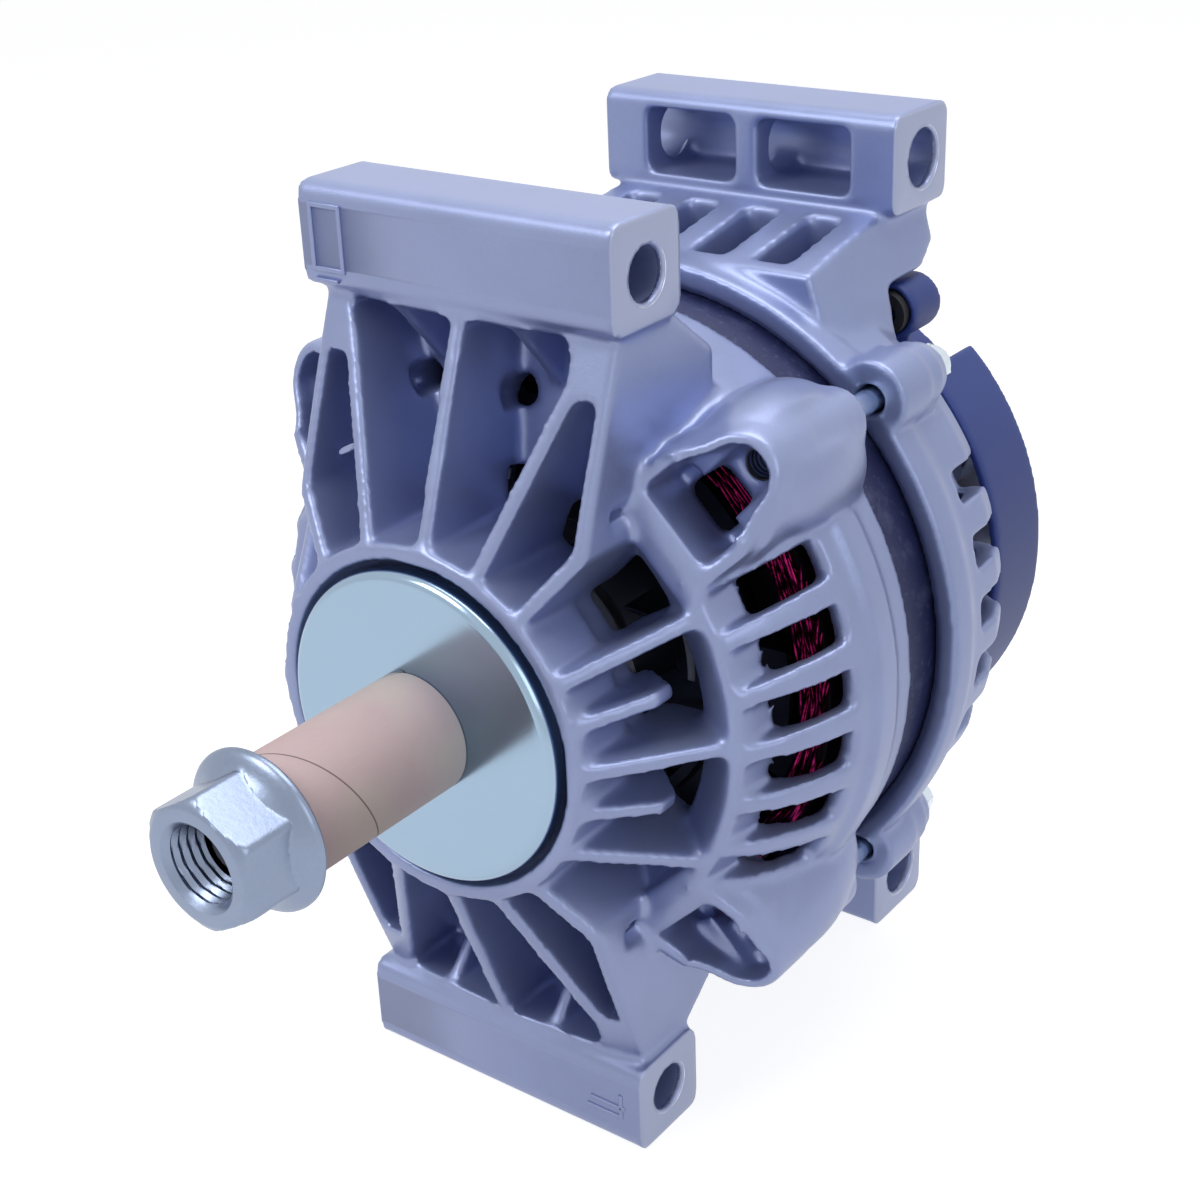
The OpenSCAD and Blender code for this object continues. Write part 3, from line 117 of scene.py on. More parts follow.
class Tree:
    """Short calls for building a node tree."""

    def __init__(self, tree):
        self.tree = tree

    def node(self, kind, sockets=(), **settings):
        made = self.tree.nodes.new(kind)
        for name, value in settings.items():
            setattr(made, name, value)
        for name, value in dict(sockets).items():
            if isinstance(value, bpy.types.NodeSocket):
                self.tree.links.new(value, made.inputs[name])
            else:
                made.inputs[name].default_value = value
        return made

    def math(self, operation, first, second=0.0, clamp=False):
        return self.node("ShaderNodeMath", {0: first, 1: second}, operation=operation, use_clamp=clamp).outputs[0]

    def noise(self, where, scale, detail=4.0, roughness=0.55):
        return self.node("ShaderNodeTexNoise", {"Vector": where, "Scale": scale, "Detail": detail,
                                                "Roughness": roughness}).outputs["Fac"]

    def ramp(self, value, low, high, start=0.0, end=1.0):
        made = self.node("ShaderNodeMapRange", {"Value": value, "From Min": low, "From Max": high,
                                                "To Min": start, "To Max": end})
        return made.outputs["Result"]

    def mix(self, share, first, second):
        made = self.node("ShaderNodeMix", data_type="RGBA")
        for socket, value in ((made.inputs[0], share), (made.inputs[6], first), (made.inputs[7], second)):
            if isinstance(value, bpy.types.NodeSocket):
                self.tree.links.new(value, socket)
            else:
                socket.default_value = value
        return made.outputs[2]

    def link(self, first, second):
        self.tree.links.new(first, second)


def shader_group(name, inputs, outputs):
    """An empty shader group with named sockets, and its inputs."""
    group = bpy.data.node_groups.new(name, "ShaderNodeTree")
    for label, kind, value in inputs:
        group.interface.new_socket(label, in_out="INPUT", socket_type=kind).default_value = value
    for label, kind in outputs:
        group.interface.new_socket(label, in_out="OUTPUT", socket_type=kind)
    build = Tree(group)
    return group, build, build.node("NodeGroupInput").outputs, build.node("NodeGroupOutput").inputs


def make_grain_group():
    """Fine grain with broad shade changes, for cast, plated, painted and moulded surfaces."""
    group, build, given, result = shader_group(
        "surface_grain",
        [("Grain Scale", "NodeSocketFloat", 900.0), ("Patch Scale", "NodeSocketFloat", 40.0),
         ("Shade Spread", "NodeSocketFloat", 0.2), ("Roughness", "NodeSocketFloat", 0.5),
         ("Roughness Spread", "NodeSocketFloat", 0.1)],
        [("Shade", "NodeSocketFloat"), ("Roughness", "NodeSocketFloat"), ("Height", "NodeSocketFloat")])
    where = build.node("ShaderNodeTexCoord").outputs["Object"]
    fine = build.noise(where, given["Grain Scale"], 3.0, 0.6)
    broad = build.noise(where, given["Patch Scale"], 5.0, 0.6)
    both = build.math("ADD", build.math("MULTIPLY", fine, 0.4), build.math("MULTIPLY", broad, 0.6))
    centred = build.math("SUBTRACT", both, 0.5)
    tone = build.math("ADD", build.math("MULTIPLY", centred, given["Shade Spread"]), 1.0)
    build.link(build.math("MAXIMUM", tone, 0.04), result["Shade"])
    rough = build.math("MULTIPLY", centred, given["Roughness Spread"])
    build.link(build.math("ADD", rough, given["Roughness"], clamp=True), result["Roughness"])
    build.link(fine, result["Height"])
    return group


grain_group = make_grain_group()


def finish_material(name, color, metallic=0.0, roughness=0.5, grain=900.0, patch=40.0, shade=0.2,
                    rough_spread=0.1, bump=0.02, bump_depth=0.0002, extra=None):
    """A material whose shade, roughness and bump come from the grain group."""
    material = bpy.data.materials.new(name)
    material.use_nodes = True
    build = Tree(material.node_tree)
    shader = material.node_tree.nodes["Principled BSDF"]
    surface = build.node("ShaderNodeGroup", node_tree=grain_group)
    for label, value in (("Grain Scale", grain), ("Patch Scale", patch), ("Shade Spread", shade),
                         ("Roughness", roughness), ("Roughness Spread", rough_spread)):
        surface.inputs[label].default_value = value
    tone = build.node("ShaderNodeVectorMath", {0: (*color,)}, operation="SCALE")
    build.link(surface.outputs["Shade"], tone.inputs["Scale"])
    base, rough, height = tone.outputs["Vector"], surface.outputs["Roughness"], surface.outputs["Height"]
    if extra:
        base, rough, height = extra(build, base, rough, height)
    build.link(base, shader.inputs["Base Color"])
    build.link(rough, shader.inputs["Roughness"])
    bumped = build.node("ShaderNodeBump", {"Strength": bump, "Distance": bump_depth, "Height": height})
    build.link(bumped.outputs["Normal"], shader.inputs["Normal"])
    shader.inputs["Metallic"].default_value = metallic
    return material


def machined_faces(build, base, rough, height):
    """Brightens the milled ends of the mounting blocks."""
    where = build.node("ShaderNodeTexCoord").outputs["Object"]
    apart = build.node("ShaderNodeSeparateXYZ", {"Vector": where}).outputs
    near_end = build.ramp(build.math("ABSOLUTE", apart["X"]), (block_half - 0.45) * MM, (block_half - 0.2) * MM)
    on_block = build.ramp(build.math("ABSOLUTE", apart["Z"]), (block_low - 0.4) * MM, (block_low + 0.2) * MM)
    end = build.math("MULTIPLY", near_end, on_block)
    marks = build.node("ShaderNodeTexWave", {"Vector": where, "Scale": 700.0, "Distortion": 2.0,
                                             "Detail": 2.0}, bands_direction="Z").outputs["Fac"]
    milled = build.math("ADD", build.math("MULTIPLY", marks, 0.08), 0.3)
    bright = build.mix(end, base, (0.43, 0.48, 0.68, 1.0))
    rough_end = build.node("ShaderNodeMix", {"Factor": end, "A": rough, "B": milled}, data_type="FLOAT").outputs[0]
    return bright, rough_end, height


def speckled(build, base, rough, height):
    """Scattered pale dust and scuffs on the dark core lacquer."""
    where = build.node("ShaderNodeTexCoord").outputs["Object"]
    specks = build.ramp(build.noise(where, 700.0, 2.0), 0.6, 0.74)
    scuffs = build.ramp(build.noise(where, 120.0, 6.0, 0.7), 0.52, 0.7)
    share = build.math("MULTIPLY", build.math("MAXIMUM", specks, scuffs), 0.35)
    return build.mix(share, base, (0.17, 0.2, 0.36, 1.0)), rough, height


def wound_board(build, base, rough, height):
    """Faint fibres along the wound board, and the butt seam that winds round it."""
    seam_start, seam_pitch = 56.2, 37.5
    where = build.node("ShaderNodeTexCoord").outputs["Object"]
    stretched = build.node("ShaderNodeMapping", {"Vector": where, "Scale": (1.0, 0.25, 1.0)}).outputs["Vector"]
    fibre = build.noise(stretched, 1500.0, 4.0, 0.7)
    apart = build.node("ShaderNodeSeparateXYZ", {"Vector": where}).outputs
    turn = build.math("DIVIDE", build.math("ARCTAN2", apart["Z"], apart["X"]), 2 * math.pi)
    along = build.math("DIVIDE", build.math("ADD", apart["Y"], seam_start * MM), seam_pitch * MM)
    phase = build.math("FRACT", build.math("ADD", build.math("ADD", along, turn), 0.5))
    from_seam = build.math("MULTIPLY", build.math("ABSOLUTE", build.math("SUBTRACT", phase, 0.5)), seam_pitch)
    seam = build.ramp(from_seam, 0.1, 0.24, 1.0, 0.0)
    blush = build.ramp(build.noise(where, 55.0, 2.0, 0.4), 0.4, 0.62)
    tinted = build.mix(build.math("MULTIPLY", blush, 0.55), base, (0.66, 0.45, 0.5, 1.0))
    toned = build.mix(build.ramp(fibre, 0.45, 0.75, 0.0, 0.3), tinted, (0.72, 0.6, 0.54, 1.0))
    sunk = build.math("SUBTRACT", height, build.math("MULTIPLY", seam, 2.0))
    return build.mix(build.math("MULTIPLY", seam, 0.8), toned, (0.09, 0.05, 0.04, 1.0)), rough, sunk


front_cast = finish_material("front_casting", (0.32, 0.375, 0.61), 0.5, 0.36, grain=2600.0, patch=60.0, shade=0.35,
                             rough_spread=0.2, bump=0.3, bump_depth=0.00012, extra=machined_faces)
rear_cast = finish_material("rear_casting", (0.29, 0.345, 0.58), 0.5, 0.38, grain=2600.0, patch=60.0, shade=0.35,
                            rough_spread=0.2, bump=0.3, bump_depth=0.00012, extra=machined_faces)
core_lacquer = finish_material("core_lacquer", (0.022, 0.028, 0.1), 0.1, 0.5, grain=1200.0, shade=0.6,
                               rough_spread=0.3, bump=0.5, bump_depth=0.0002, extra=speckled)
# Enamelled copper's own dark red, blotched from near black to bright magenta: painted shade inside the frame and
# painted glints on a few wires.
copper_with_painted_glints = finish_material("copper_enamel_painted_glints_and_shade", (0.15, 0.005, 0.048), 1.0, 0.2, grain=900.0, patch=420.0, shade=9.0,
                              bump=0.05)
bearing_steel = finish_material("ground_steel", (0.55, 0.57, 0.62), 1.0, 0.22, grain=2500.0)
plain_steel = finish_material("dull_steel", (0.3, 0.31, 0.35), 0.9, 0.42, grain=1500.0, bump=0.1)
zinc_plate = finish_material("zinc_plate", (0.32, 0.43, 0.55), 1.0, 0.17, grain=1800.0, patch=25.0, shade=0.12,
                             rough_spread=0.1, bump=0.03)
zinc_nut = finish_material("zinc_nut", (0.25, 0.3, 0.41), 1.0, 0.34, grain=900.0, patch=120.0, shade=0.3,
                           rough_spread=0.25, bump=0.25, bump_depth=0.00015)
bore_steel = finish_material("reamed_bore", (0.72, 0.74, 0.8), 1.0, 0.25, grain=2000.0, shade=0.1, bump=0.05)
# Near-black steel: painted shade for the insides of the lobes' tapped holes and for the shaft's end deep in the nut.
shade_dark_steel = finish_material("shade_dark_steel", (0.06, 0.06, 0.07), 0.8, 0.4, grain=1500.0)
# Near-black lacquer for the bed under the end turns: painted shade between and behind the wires.
shade_black_lacquer = finish_material("shade_black_lacquer", (0.012, 0.009, 0.014), 0.0, 0.35, grain=1200.0, shade=0.5, bump=0.4)
zinc_thread = finish_material("zinc_fastener", (0.66, 0.74, 0.82), 1.0, 0.2, grain=1800.0, shade=0.15, bump=0.05)
pole_steel = finish_material("pole_steel", (0.05, 0.052, 0.07), 0.7, 0.45, grain=900.0, shade=0.4, bump=0.2)
fan_steel = finish_material("fan_steel", (0.1, 0.11, 0.15), 0.9, 0.32, grain=900.0, shade=0.3, bump=0.1)
sleeve_board = finish_material("wound_board", (0.72, 0.6, 0.55), 0.0, 0.8, grain=2500.0, patch=30.0, shade=0.25,
                               bump=0.25, bump_depth=0.0001, extra=wound_board)
insulation = finish_material("moulded_insulation", (0.2, 0.13, 0.06), 0.0, 0.5, grain=1500.0)
black_plastic = finish_material("black_moulding", (0.02, 0.02, 0.025), 0.0, 0.45, grain=2500.0, bump=0.1)
carbon = finish_material("pressed_carbon", (0.03, 0.03, 0.033), 0.1, 0.6, grain=3500.0, bump=0.2)
sink_metal = finish_material("stamped_plate", (0.5, 0.51, 0.55), 0.9, 0.35, grain=1200.0, bump=0.05)
cover_plastic = finish_material("slate_moulding", (0.03, 0.06, 0.27), 0.0, 0.5, grain=2600.0, patch=20.0, shade=0.1,
                                bump=0.15, bump_depth=0.00008)
red_insulator = finish_material("red_moulding", (0.25, 0.03, 0.02), 0.0, 0.45, grain=1500.0)
seal_rubber = finish_material("seal_rubber", (0.012, 0.012, 0.015), 0.0, 0.65, grain=1200.0, bump=0.1)
brass_contact = finish_material("drawn_brass", (0.7, 0.45, 0.16), 1.0, 0.25, grain=1800.0)

slot_materials = {
    "front_casting": front_cast, "rear_casting": rear_cast, "core_lacquer": core_lacquer, "copper": copper_with_painted_glints,
    "bearing_steel": bearing_steel, "plain_steel": plain_steel, "zinc": zinc_thread, "pole_steel": pole_steel,
    "fan_steel": fan_steel, "sleeve_board": sleeve_board, "insulation": insulation, "black_plastic": black_plastic,
    "carbon": carbon, "sink_metal": sink_metal, "cover_plastic": cover_plastic, "red_insulator": red_insulator,
    "seal_rubber": seal_rubber, "brass_contact": brass_contact,
}
node_slot = {row["node"]: row["material_slot"] for row in frame["record"]["subparts"]}
for label, solid in nodes.items():
    solid.data.materials.clear()
    solid.data.materials.append(slot_materials[node_slot[label]])


# Mesh helpers

def merged_copy(label, merge=0.002 * MM):
    """A copy of a node's mesh with its loose triangles joined."""
    mesh = bmesh.new()
    mesh.from_mesh(nodes[label].data)
    bmesh.ops.remove_doubles(mesh, verts=mesh.verts, dist=merge)
    return mesh


def settled(name, mesh, body, material, stands_for=(), sharp=35.0):
    """A finished piece from a bmesh or a mesh, riding on its body."""
    if isinstance(mesh, bmesh.types.BMesh):
        data = bpy.data.meshes.new(name)
        mesh.to_mesh(data)
        mesh.free()
    else:
        data = mesh
        data.name = name
    data.materials.clear()
    data.materials.append(material)
    piece = bpy.data.objects.new(name, data)
    bpy.context.scene.collection.objects.link(piece)
    data.polygons.foreach_set("use_smooth", [True] * len(data.polygons))
    if sharp:
        data.set_sharp_from_angle(angle=math.radians(sharp))
    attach(piece, body)
    if stands_for:
        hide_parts(*stands_for)
    return piece


def evaluated(mesh, name, add_modifiers):
    """The mesh that a scratch object's modifiers make, as plain data."""
    if isinstance(mesh, bmesh.types.BMesh):
        data = bpy.data.meshes.new(name)
        mesh.to_mesh(data)
        mesh.free()
    else:
        data = mesh
    scratch = bpy.data.objects.new(name + "_scratch", data)
    bpy.context.scene.collection.objects.link(scratch)
    add_modifiers(scratch)
    bpy.context.view_layer.update()
    seen = scratch.evaluated_get(bpy.context.evaluated_depsgraph_get())
    made = bpy.data.meshes.new_from_object(seen)
    bpy.data.objects.remove(scratch)
    return made


def vertex_places(data):
    """The places of a mesh's vertices, a row each."""
    place = np.empty(len(data.vertices) * 3)
    data.vertices.foreach_get("co", place)
    return place.reshape(-1, 3)


def move_vertices(data, place):
    """Puts a mesh's vertices at new places."""
    data.vertices.foreach_set("co", place.ravel())
    data.update()


def neighbour_mean(data):
    """A function that gives the middle of each vertex's neighbours."""
    count = len(data.vertices)
    ends = np.empty(len(data.edges) * 2, np.int64)
    data.edges.foreach_get("vertices", ends)
    first, second = ends[0::2], ends[1::2]
    degree = np.maximum(np.bincount(ends, minlength=count), 1)[:, None]

    def mean(place):
        total = np.stack([np.bincount(first, place[second, k], count) + np.bincount(second, place[first, k], count)
                          for k in range(3)], 1)
        return total / degree
    return mean


def cast_softened(data, rounds, fill, wear, keep):
    """Rounds a dense mesh as a casting is: corners fill in more than edges wear away."""
    place = vertex_places(data)
    middle = neighbour_mean(data)
    free = (1.0 - keep(place))[:, None]
    normal = np.empty(place.size, np.float32)
    for step in range(rounds):
        if step % 3 == 0:
            move_vertices(data, place)
            data.vertex_normals.foreach_get("vector", normal)
            outward = normal.reshape(-1, 3).astype(float)
        move = middle(place) - place
        rise = (move * outward).sum(1)[:, None]
        level = (fill, wear) if step > 2 else (0.5, 0.5)
        share = np.where(rise > 0, level[0], level[1])
        place = place + ((move - rise * outward) * 0.4 + rise * outward * share) * free
    move_vertices(data, place)


def nothing_kept(place):
    """No points that stay as they are."""
    return np.zeros(len(place))


def cast_piece(label, material, rounds, wear=0.12, keep=nothing_kept, most=190000, add=None, shape=None):
    """A casting or moulding with softened edges, remeshed from its solid and whatever add puts on it."""
    def fine(scratch):
        remesh = scratch.modifiers.new("cast_skin", "REMESH")
        remesh.mode = "VOXEL"
        remesh.voxel_size = skin_voxel
    raw = merged_copy(label)
    if add:
        add(raw)
    data = evaluated(raw, label, fine)
    if shape:
        shape(data)
    cast_softened(data, rounds, 0.5, wear, keep)
    triangles = sum(len(face.vertices) - 2 for face in data.polygons)

    def thin(scratch):
        if triangles > most:
            scratch.modifiers.new("thin_out", "DECIMATE").ratio = most / triangles
    skin = evaluated(data, label, thin)
    return settled(label + "_skin", skin, nodes[label]["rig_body"], material, (label,), sharp=0)


def lofted(mesh, rows, loop=False):
    """Joins rows of points into a tube with closed ends, or with its last row joined to the first."""
    size = len(rows[0])
    pairs = list(zip(rows, rows[1:])) + ([(rows[-1], rows[0])] if loop else [])
    made = [mesh.faces.new((a[k], a[(k + 1) % size], b[(k + 1) % size], b[k])) for a, b in pairs for k in range(size)]
    if not loop:
        made += [mesh.faces.new(rows[0][::-1]), mesh.faces.new(rows[-1])]
    return made


def turned(rings, segments=96, loop=False, centre=(0.0, 0.0), mesh=None):
    """A shape turned about a line along Y. Rings are radius and y in mm, and a radius may be a function of the turn."""
    mesh = mesh or bmesh.new()
    rows = []
    for radius, y in rings:
        row = []
        for i in range(segments):
            t = 2 * math.pi * i / segments
            r = radius(t) if callable(radius) else radius
            spot = (centre[0] + r * math.cos(t)) * MM, y * MM, (centre[1] + r * math.sin(t)) * MM
            row.append(mesh.verts.new(spot))
        rows.append(row)
    bmesh.ops.recalc_face_normals(mesh, faces=lofted(mesh, rows, loop))
    return mesh


def arc_points(centre_r, centre_y, radius, start, end, steps=6):
    """Ring points along an arc, with angles in degrees from outward towards +Y."""
    return [(centre_r + radius * math.cos(a), centre_y + radius * math.sin(a))
            for a in (math.radians(start + (end - start) * k / steps) for k in range(steps + 1))]


def hex_radius(across, turn=0.0, most=1e9):
    """The radius of a hexagon as a function of the turn."""
    def at(t):
        wedge = (t + turn) % (math.pi / 3) - math.pi / 6
        return min(across / 2 / math.cos(wedge), most)
    return at


def thread_radius(base, depth, pitch, y):
    """A V-shaped thread that winds along Y."""
    return lambda t: base + depth * abs(2 * ((y / pitch - t / (2 * math.pi)) % 1.0) - 1)


def swept_wire(mesh, points, radius, sides=6):
    """Adds a closed round wire along the points."""
    points = [Vector(p) for p in points]
    rings = []
    for i, p in enumerate(points):
        ahead = (points[min(i + 1, len(points) - 1)] - points[max(i - 1, 0)]).normalized()
        across = ahead.cross(AXIS_Y if abs(ahead.y) < 0.9 else Vector((1, 0, 0))).normalized()
        up = across.cross(ahead)
        rings.append([mesh.verts.new(p + (across * math.cos(t) + up * math.sin(t)) * radius)
                      for t in (2 * math.pi * k / sides for k in range(sides))])
    lofted(mesh, rings)


def ring_tree():
    """Geometry nodes that repeat a shape about the shaft."""
    group = bpy.data.node_groups.new("repeat_about_shaft", "GeometryNodeTree")
    group.interface.new_socket("Shape", in_out="INPUT", socket_type="NodeSocketGeometry")
    group.interface.new_socket("Copies", in_out="INPUT", socket_type="NodeSocketInt").default_value = 8
    group.interface.new_socket("First Turn", in_out="INPUT", socket_type="NodeSocketFloat")
    group.interface.new_socket("Finish", in_out="INPUT", socket_type="NodeSocketMaterial")
    group.interface.new_socket("Shape", in_out="OUTPUT", socket_type="NodeSocketGeometry")
    build = Tree(group)
    given = build.node("NodeGroupInput").outputs
    points = build.node("GeometryNodePoints", {"Count": given["Copies"]}).outputs["Points"]
    step = build.math("DIVIDE", 2 * math.pi, given["Copies"])
    turn = build.math("ADD", build.math("MULTIPLY", build.node("GeometryNodeInputIndex").outputs[0], step),
                      given["First Turn"])
    about = build.node("ShaderNodeCombineXYZ", {"Y": turn}).outputs[0]
    spun = build.node("GeometryNodeInstanceOnPoints", {"Points": points, "Instance": given["Shape"],
                                                       "Rotation": about}).outputs["Instances"]
    real = build.node("GeometryNodeRealizeInstances", {"Geometry": spun}).outputs["Geometry"]
    done = build.node("GeometryNodeSetMaterial", {"Geometry": real, "Material": given["Finish"]}).outputs["Geometry"]
    build.link(done, build.node("NodeGroupOutput").inputs["Shape"])
    return group


repeat_about_shaft = ring_tree()


def repeated(mesh, name, copies, finish, first_turn=0.0):
    """The shape repeated about the shaft by geometry nodes, as plain mesh data."""
    def spread(scratch):
        modifier = scratch.modifiers.new("repeat", "NODES")
        modifier.node_group = repeat_about_shaft
        sockets = {item.name: item.identifier for item in repeat_about_shaft.interface.items_tree
                   if item.item_type == "SOCKET" and item.in_out == "INPUT"}
        modifier[sockets["Copies"]] = copies
        modifier[sockets["First Turn"]] = first_turn
        modifier[sockets["Finish"]] = finish
    return evaluated(mesh, name, spread)


# Castings
skin_voxel = 0.75 * MM
cast_rounds = 14
neck_rounds = 34


def milled(place):
    """Points on the milled ends of the mounting blocks, which stay flat."""
    at_end = np.abs(place[:, 0]) > (block_half - 1.0) * MM
    return (at_end & (np.abs(place[:, 2]) > block_low * MM)).astype(float)


# A lobe's own axes, in mm: along it from the shaft, across it, and y. Radii of the skirt against y.
skirt_profile = ([-4.4, -3.4, 4.6, 12.5, 20.0, 27.0, 41.5], [56.5, 59.0, 63.5, 66.6, 68.8, 69.8, 69.8])
cup_half, cup_end_r, bolt_room = 9.1, 6.2, 4.6
crest_y, crest_along, crest_slope, rim_slope, rim_depth = -4.2, 57.5, 0.442, 1.45, 14.0


def lobe_spot(mesh, turn, along, across, y):
    """A new point from a lobe's own axes."""
    return mesh.verts.new(((along * math.cos(turn) - across * math.sin(turn)) * MM, y * MM,
                           (along * math.sin(turn) + across * math.cos(turn)) * MM))


def add_loft(mesh, rows):
    """Adds a closed solid through the rows, with its faces turned outwards."""
    bmesh.ops.recalc_face_normals(mesh, faces=lofted(mesh, rows))


def shoulder_outline(y, centre, radius, side):
    """Half of a lobe's shoulder at one level: out along its arc and back along the skirt."""
    inner = float(np.interp(y, *skirt_profile)) - (1.2 if y < 33 else 0.9)
    start = math.asin(bolt_room / radius)
    stop = math.radians(88.0)
    outer = [(centre + radius * math.cos(q), radius * math.sin(q))
             for q in (start + (stop - start) * k / 9 for k in range(10))]
    last = outer[-1][1]
    inside = [(math.sqrt(inner ** 2 - w ** 2), w) for w in (last - (last - bolt_room) * k / 5 for k in range(6))]
    return [(along, across * side) for along, across in outer + inside]


def lobe_shoulders(mesh):
    """Adds the broad shoulders beside each bolt lobe, which run out into the skirt."""
    levels = [(9.0, 69.6, 11.6), (13.0, 69.0, 13.0), (18.0, 68.4, 14.1), (22.5, 67.8, 14.7), (27.5, 66.8, 15.2),
              (32.0, 65.6, 15.3), (36.5, 64.2, 15.2), (40.7, 62.6, 14.8)]
    for turn in bolt_turns:
        for side in (1, -1):
            add_loft(mesh, [[lobe_spot(mesh, turn, along, across, y)
                             for along, across in shoulder_outline(y, centre, radius, side)]
                            for y, centre, radius in levels])


def lobe_rims(mesh):
    """Adds the conical rim round each lobe's cup."""
    half = [(56.0, 9.0, 4.4), (59.0, cup_half, 4.4), (62.0, cup_half, 4.4), (65.0, cup_half, 4.3), (67.5, 8.95, 4.1),
            (70.0, 7.95, 3.8)]
    for degrees in (15, 30, 50, 70, 90):
        q = math.radians(degrees)
        half.append((bolt_circle + cup_end_r * math.sin(q), cup_end_r * math.cos(q), 3.5 - 1.1 * math.sin(q)))
    path = half + [(a, -b, c) for a, b, c in half[-2::-1]]
    spots = [Vector((a, b)) for a, b, c in path]
    for turn in bolt_turns:
        rows = []
        for k, spot in enumerate(spots):
            width = path[k][2]
            run = spots[min(k + 1, len(spots) - 1)] - spots[max(k - 1, 0)]
            out = Vector((-run.y, run.x)).normalized() * width
            plane = crest_y + (spot.x - crest_along) * crest_slope
            corners = ((spot, plane), (spot + out, plane + rim_slope * width), (spot + out, plane + rim_depth),
                       (spot, plane + rim_depth))
            rows.append([lobe_spot(mesh, turn, v.x, v.y, y) for v, y in corners])
        add_loft(mesh, rows)


def cup_ends(mesh):
    """Slopes the hub side of each lobe's cup down to its window."""
    section = [(55.4, -4.2), (57.4, -4.2), (60.6, -2.8), (59.6, 2.5), (57.0, 12.6), (55.4, 13.0)]
    for turn in bolt_turns:
        add_loft(mesh, [[lobe_spot(mesh, turn, along, across, y) for along, y in section] for across in (-9.6, 9.6)])


def broad_lobes(mesh):
    """Adds what the four lobes have and their solid lacks."""
    lobe_shoulders(mesh)
    lobe_rims(mesh)
    cup_ends(mesh)


def smooth_neck(data):
    """Rubs the sides of the rear neck smooth under its mounting block."""
    place = vertex_places(data)
    middle = neighbour_mean(data)
    side, back, height = np.abs(place[:, 0]) / MM, place[:, 1] / MM, place[:, 2] / MM
    share = np.clip((side - 24) / 4, 0, 1) * np.clip((back - 84) / 4, 0, 1) * np.clip((height - 52) / 4, 0, 1)
    share = (share * np.clip((79 - height) / 3, 0, 1))[:, None]
    for step in range(neck_rounds):
        place = place + (middle(place) - place) * 0.5 * share
    move_vertices(data, place)


cast_piece("drive_end_frame", front_cast, cast_rounds, keep=milled, add=broad_lobes)
cast_piece("slip_ring_end_frame", rear_cast, cast_rounds, keep=milled, shape=smooth_neck)
cast_piece("rear_cover", cover_plastic, cast_rounds // 2, wear=0.25, most=120000)


# Linings of the mounting bores and the lobes' threaded holes
def bore_lining(mesh, radius, y, z, start, end, side):
    """A thin bright ring along a mounting bore, with a chamfer where it comes out of the block."""
    profile = [(radius + 0.75, end - 0.02), (radius + 0.05, end - 0.7), (radius - 0.06, end - 1.2),
               (radius - 0.06, start + 0.3), (radius + 0.1, start), (radius + 0.3, start + 0.4),
               (radius + 0.3, end - 0.9)]
    before = set(mesh.verts)
    turned(profile, 64, loop=True, mesh=mesh)
    for vert in mesh.verts:
        if vert not in before:
            x, along, up_way = vert.co
            vert.co = (along * side, x + y * MM, up_way + z * MM)


for name, carrier, radius, y, start in (
        ("front_bore_linings", "drive_end_frame", front_bore_r, 0.0, 0.05),
        ("rear_bore_linings", "slip_ring_end_frame", rear_bore_r, rear_bore_y, rear_bore_start)):
    linings = bmesh.new()
    for level in (bore_z, -bore_z):
        for side in (1, -1):
            bore_lining(linings, radius, y, level, start, block_half, side)
    bmesh.ops.recalc_face_normals(linings, faces=linings.faces)
    piece = settled(name, linings, nodes[carrier]["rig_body"], bore_steel, sharp=25)

# The lobes' tapped holes, lined in near-black steel as painted shade inside them
tap_front, tap_back, tap_step, tap_pitch, tap_back_r = 13.0, 20.6, 0.2, 1.25, 3.25
thread = [(thread_radius(2.75, 0.4, tap_pitch, y), y) for y in (tap_front + tap_step * k for k in range(38))]
tapped = turned(thread + [(tap_back_r, tap_back), (tap_back_r, tap_front)], 40, loop=True, centre=(bolt_circle, 0.0))
holes = settled("lobe_hole_threads", repeated(tapped, "lobe_hole_threads", 4, shade_dark_steel, bolt_turns[0]),
                nodes["drive_end_frame"]["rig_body"], shade_dark_steel, sharp=0)


# Pulley end
def nut_shape():
    """The flanged nut with its chamfers and threaded hole."""
    across_flats, corner_r, thread_r, thread_depth, pitch, steps = 24.0, 13.6, 7.55, 0.75, 2.0, 76
    flats = hex_radius(across_flats, math.pi / 6, corner_r)
    end, seat = nut_lo.y, nut_hi.y
    flange = [(seat - 5.6, 11.6), (seat - 4.6, 12.4), (seat - 3.4, 13.6), (seat - 2.4, 15.2), (seat - 1.7, 16.0),
              (seat - 1.1, 16.2), (seat - 0.5, 16.15), (seat, 15.7)]

    def outside(y):
        brim = float(np.interp(y, [q[0] for q in flange], [q[1] for q in flange], left=0.0))
        cone = 11.5 + (y - end) * 1.55 if y - end < 0.9 else 12.9 + (y - end - 0.9) * 0.75
        return lambda t: max(min(flats(t), cone), brim)
    brim_levels = [seat - 6.4 + 0.45 * k for k in range(14)]
    levels = sorted({end + 0.12, end + 0.45, end + 0.9, end + 1.6, end + 2.4, seat - 8.0, *brim_levels,
                     seat - 0.25, seat})
    rings = [(9.0, end), (11.2, end)] + [(outside(y), y) for y in levels] + [(8.6, seat)]
    for k in range(steps + 1):
        y = seat - 0.8 - (seat - end - 2.0) * k / steps
        rings.append((thread_radius(thread_r, thread_depth, pitch, y), y))
    rings += [(8.2, end + 0.7)]
    return turned(rings, 144, loop=True)


settled("pulley_nut_turned", nut_shape(), nodes["pulley_nut"]["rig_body"], zinc_nut, ("pulley_nut",), sharp=28)

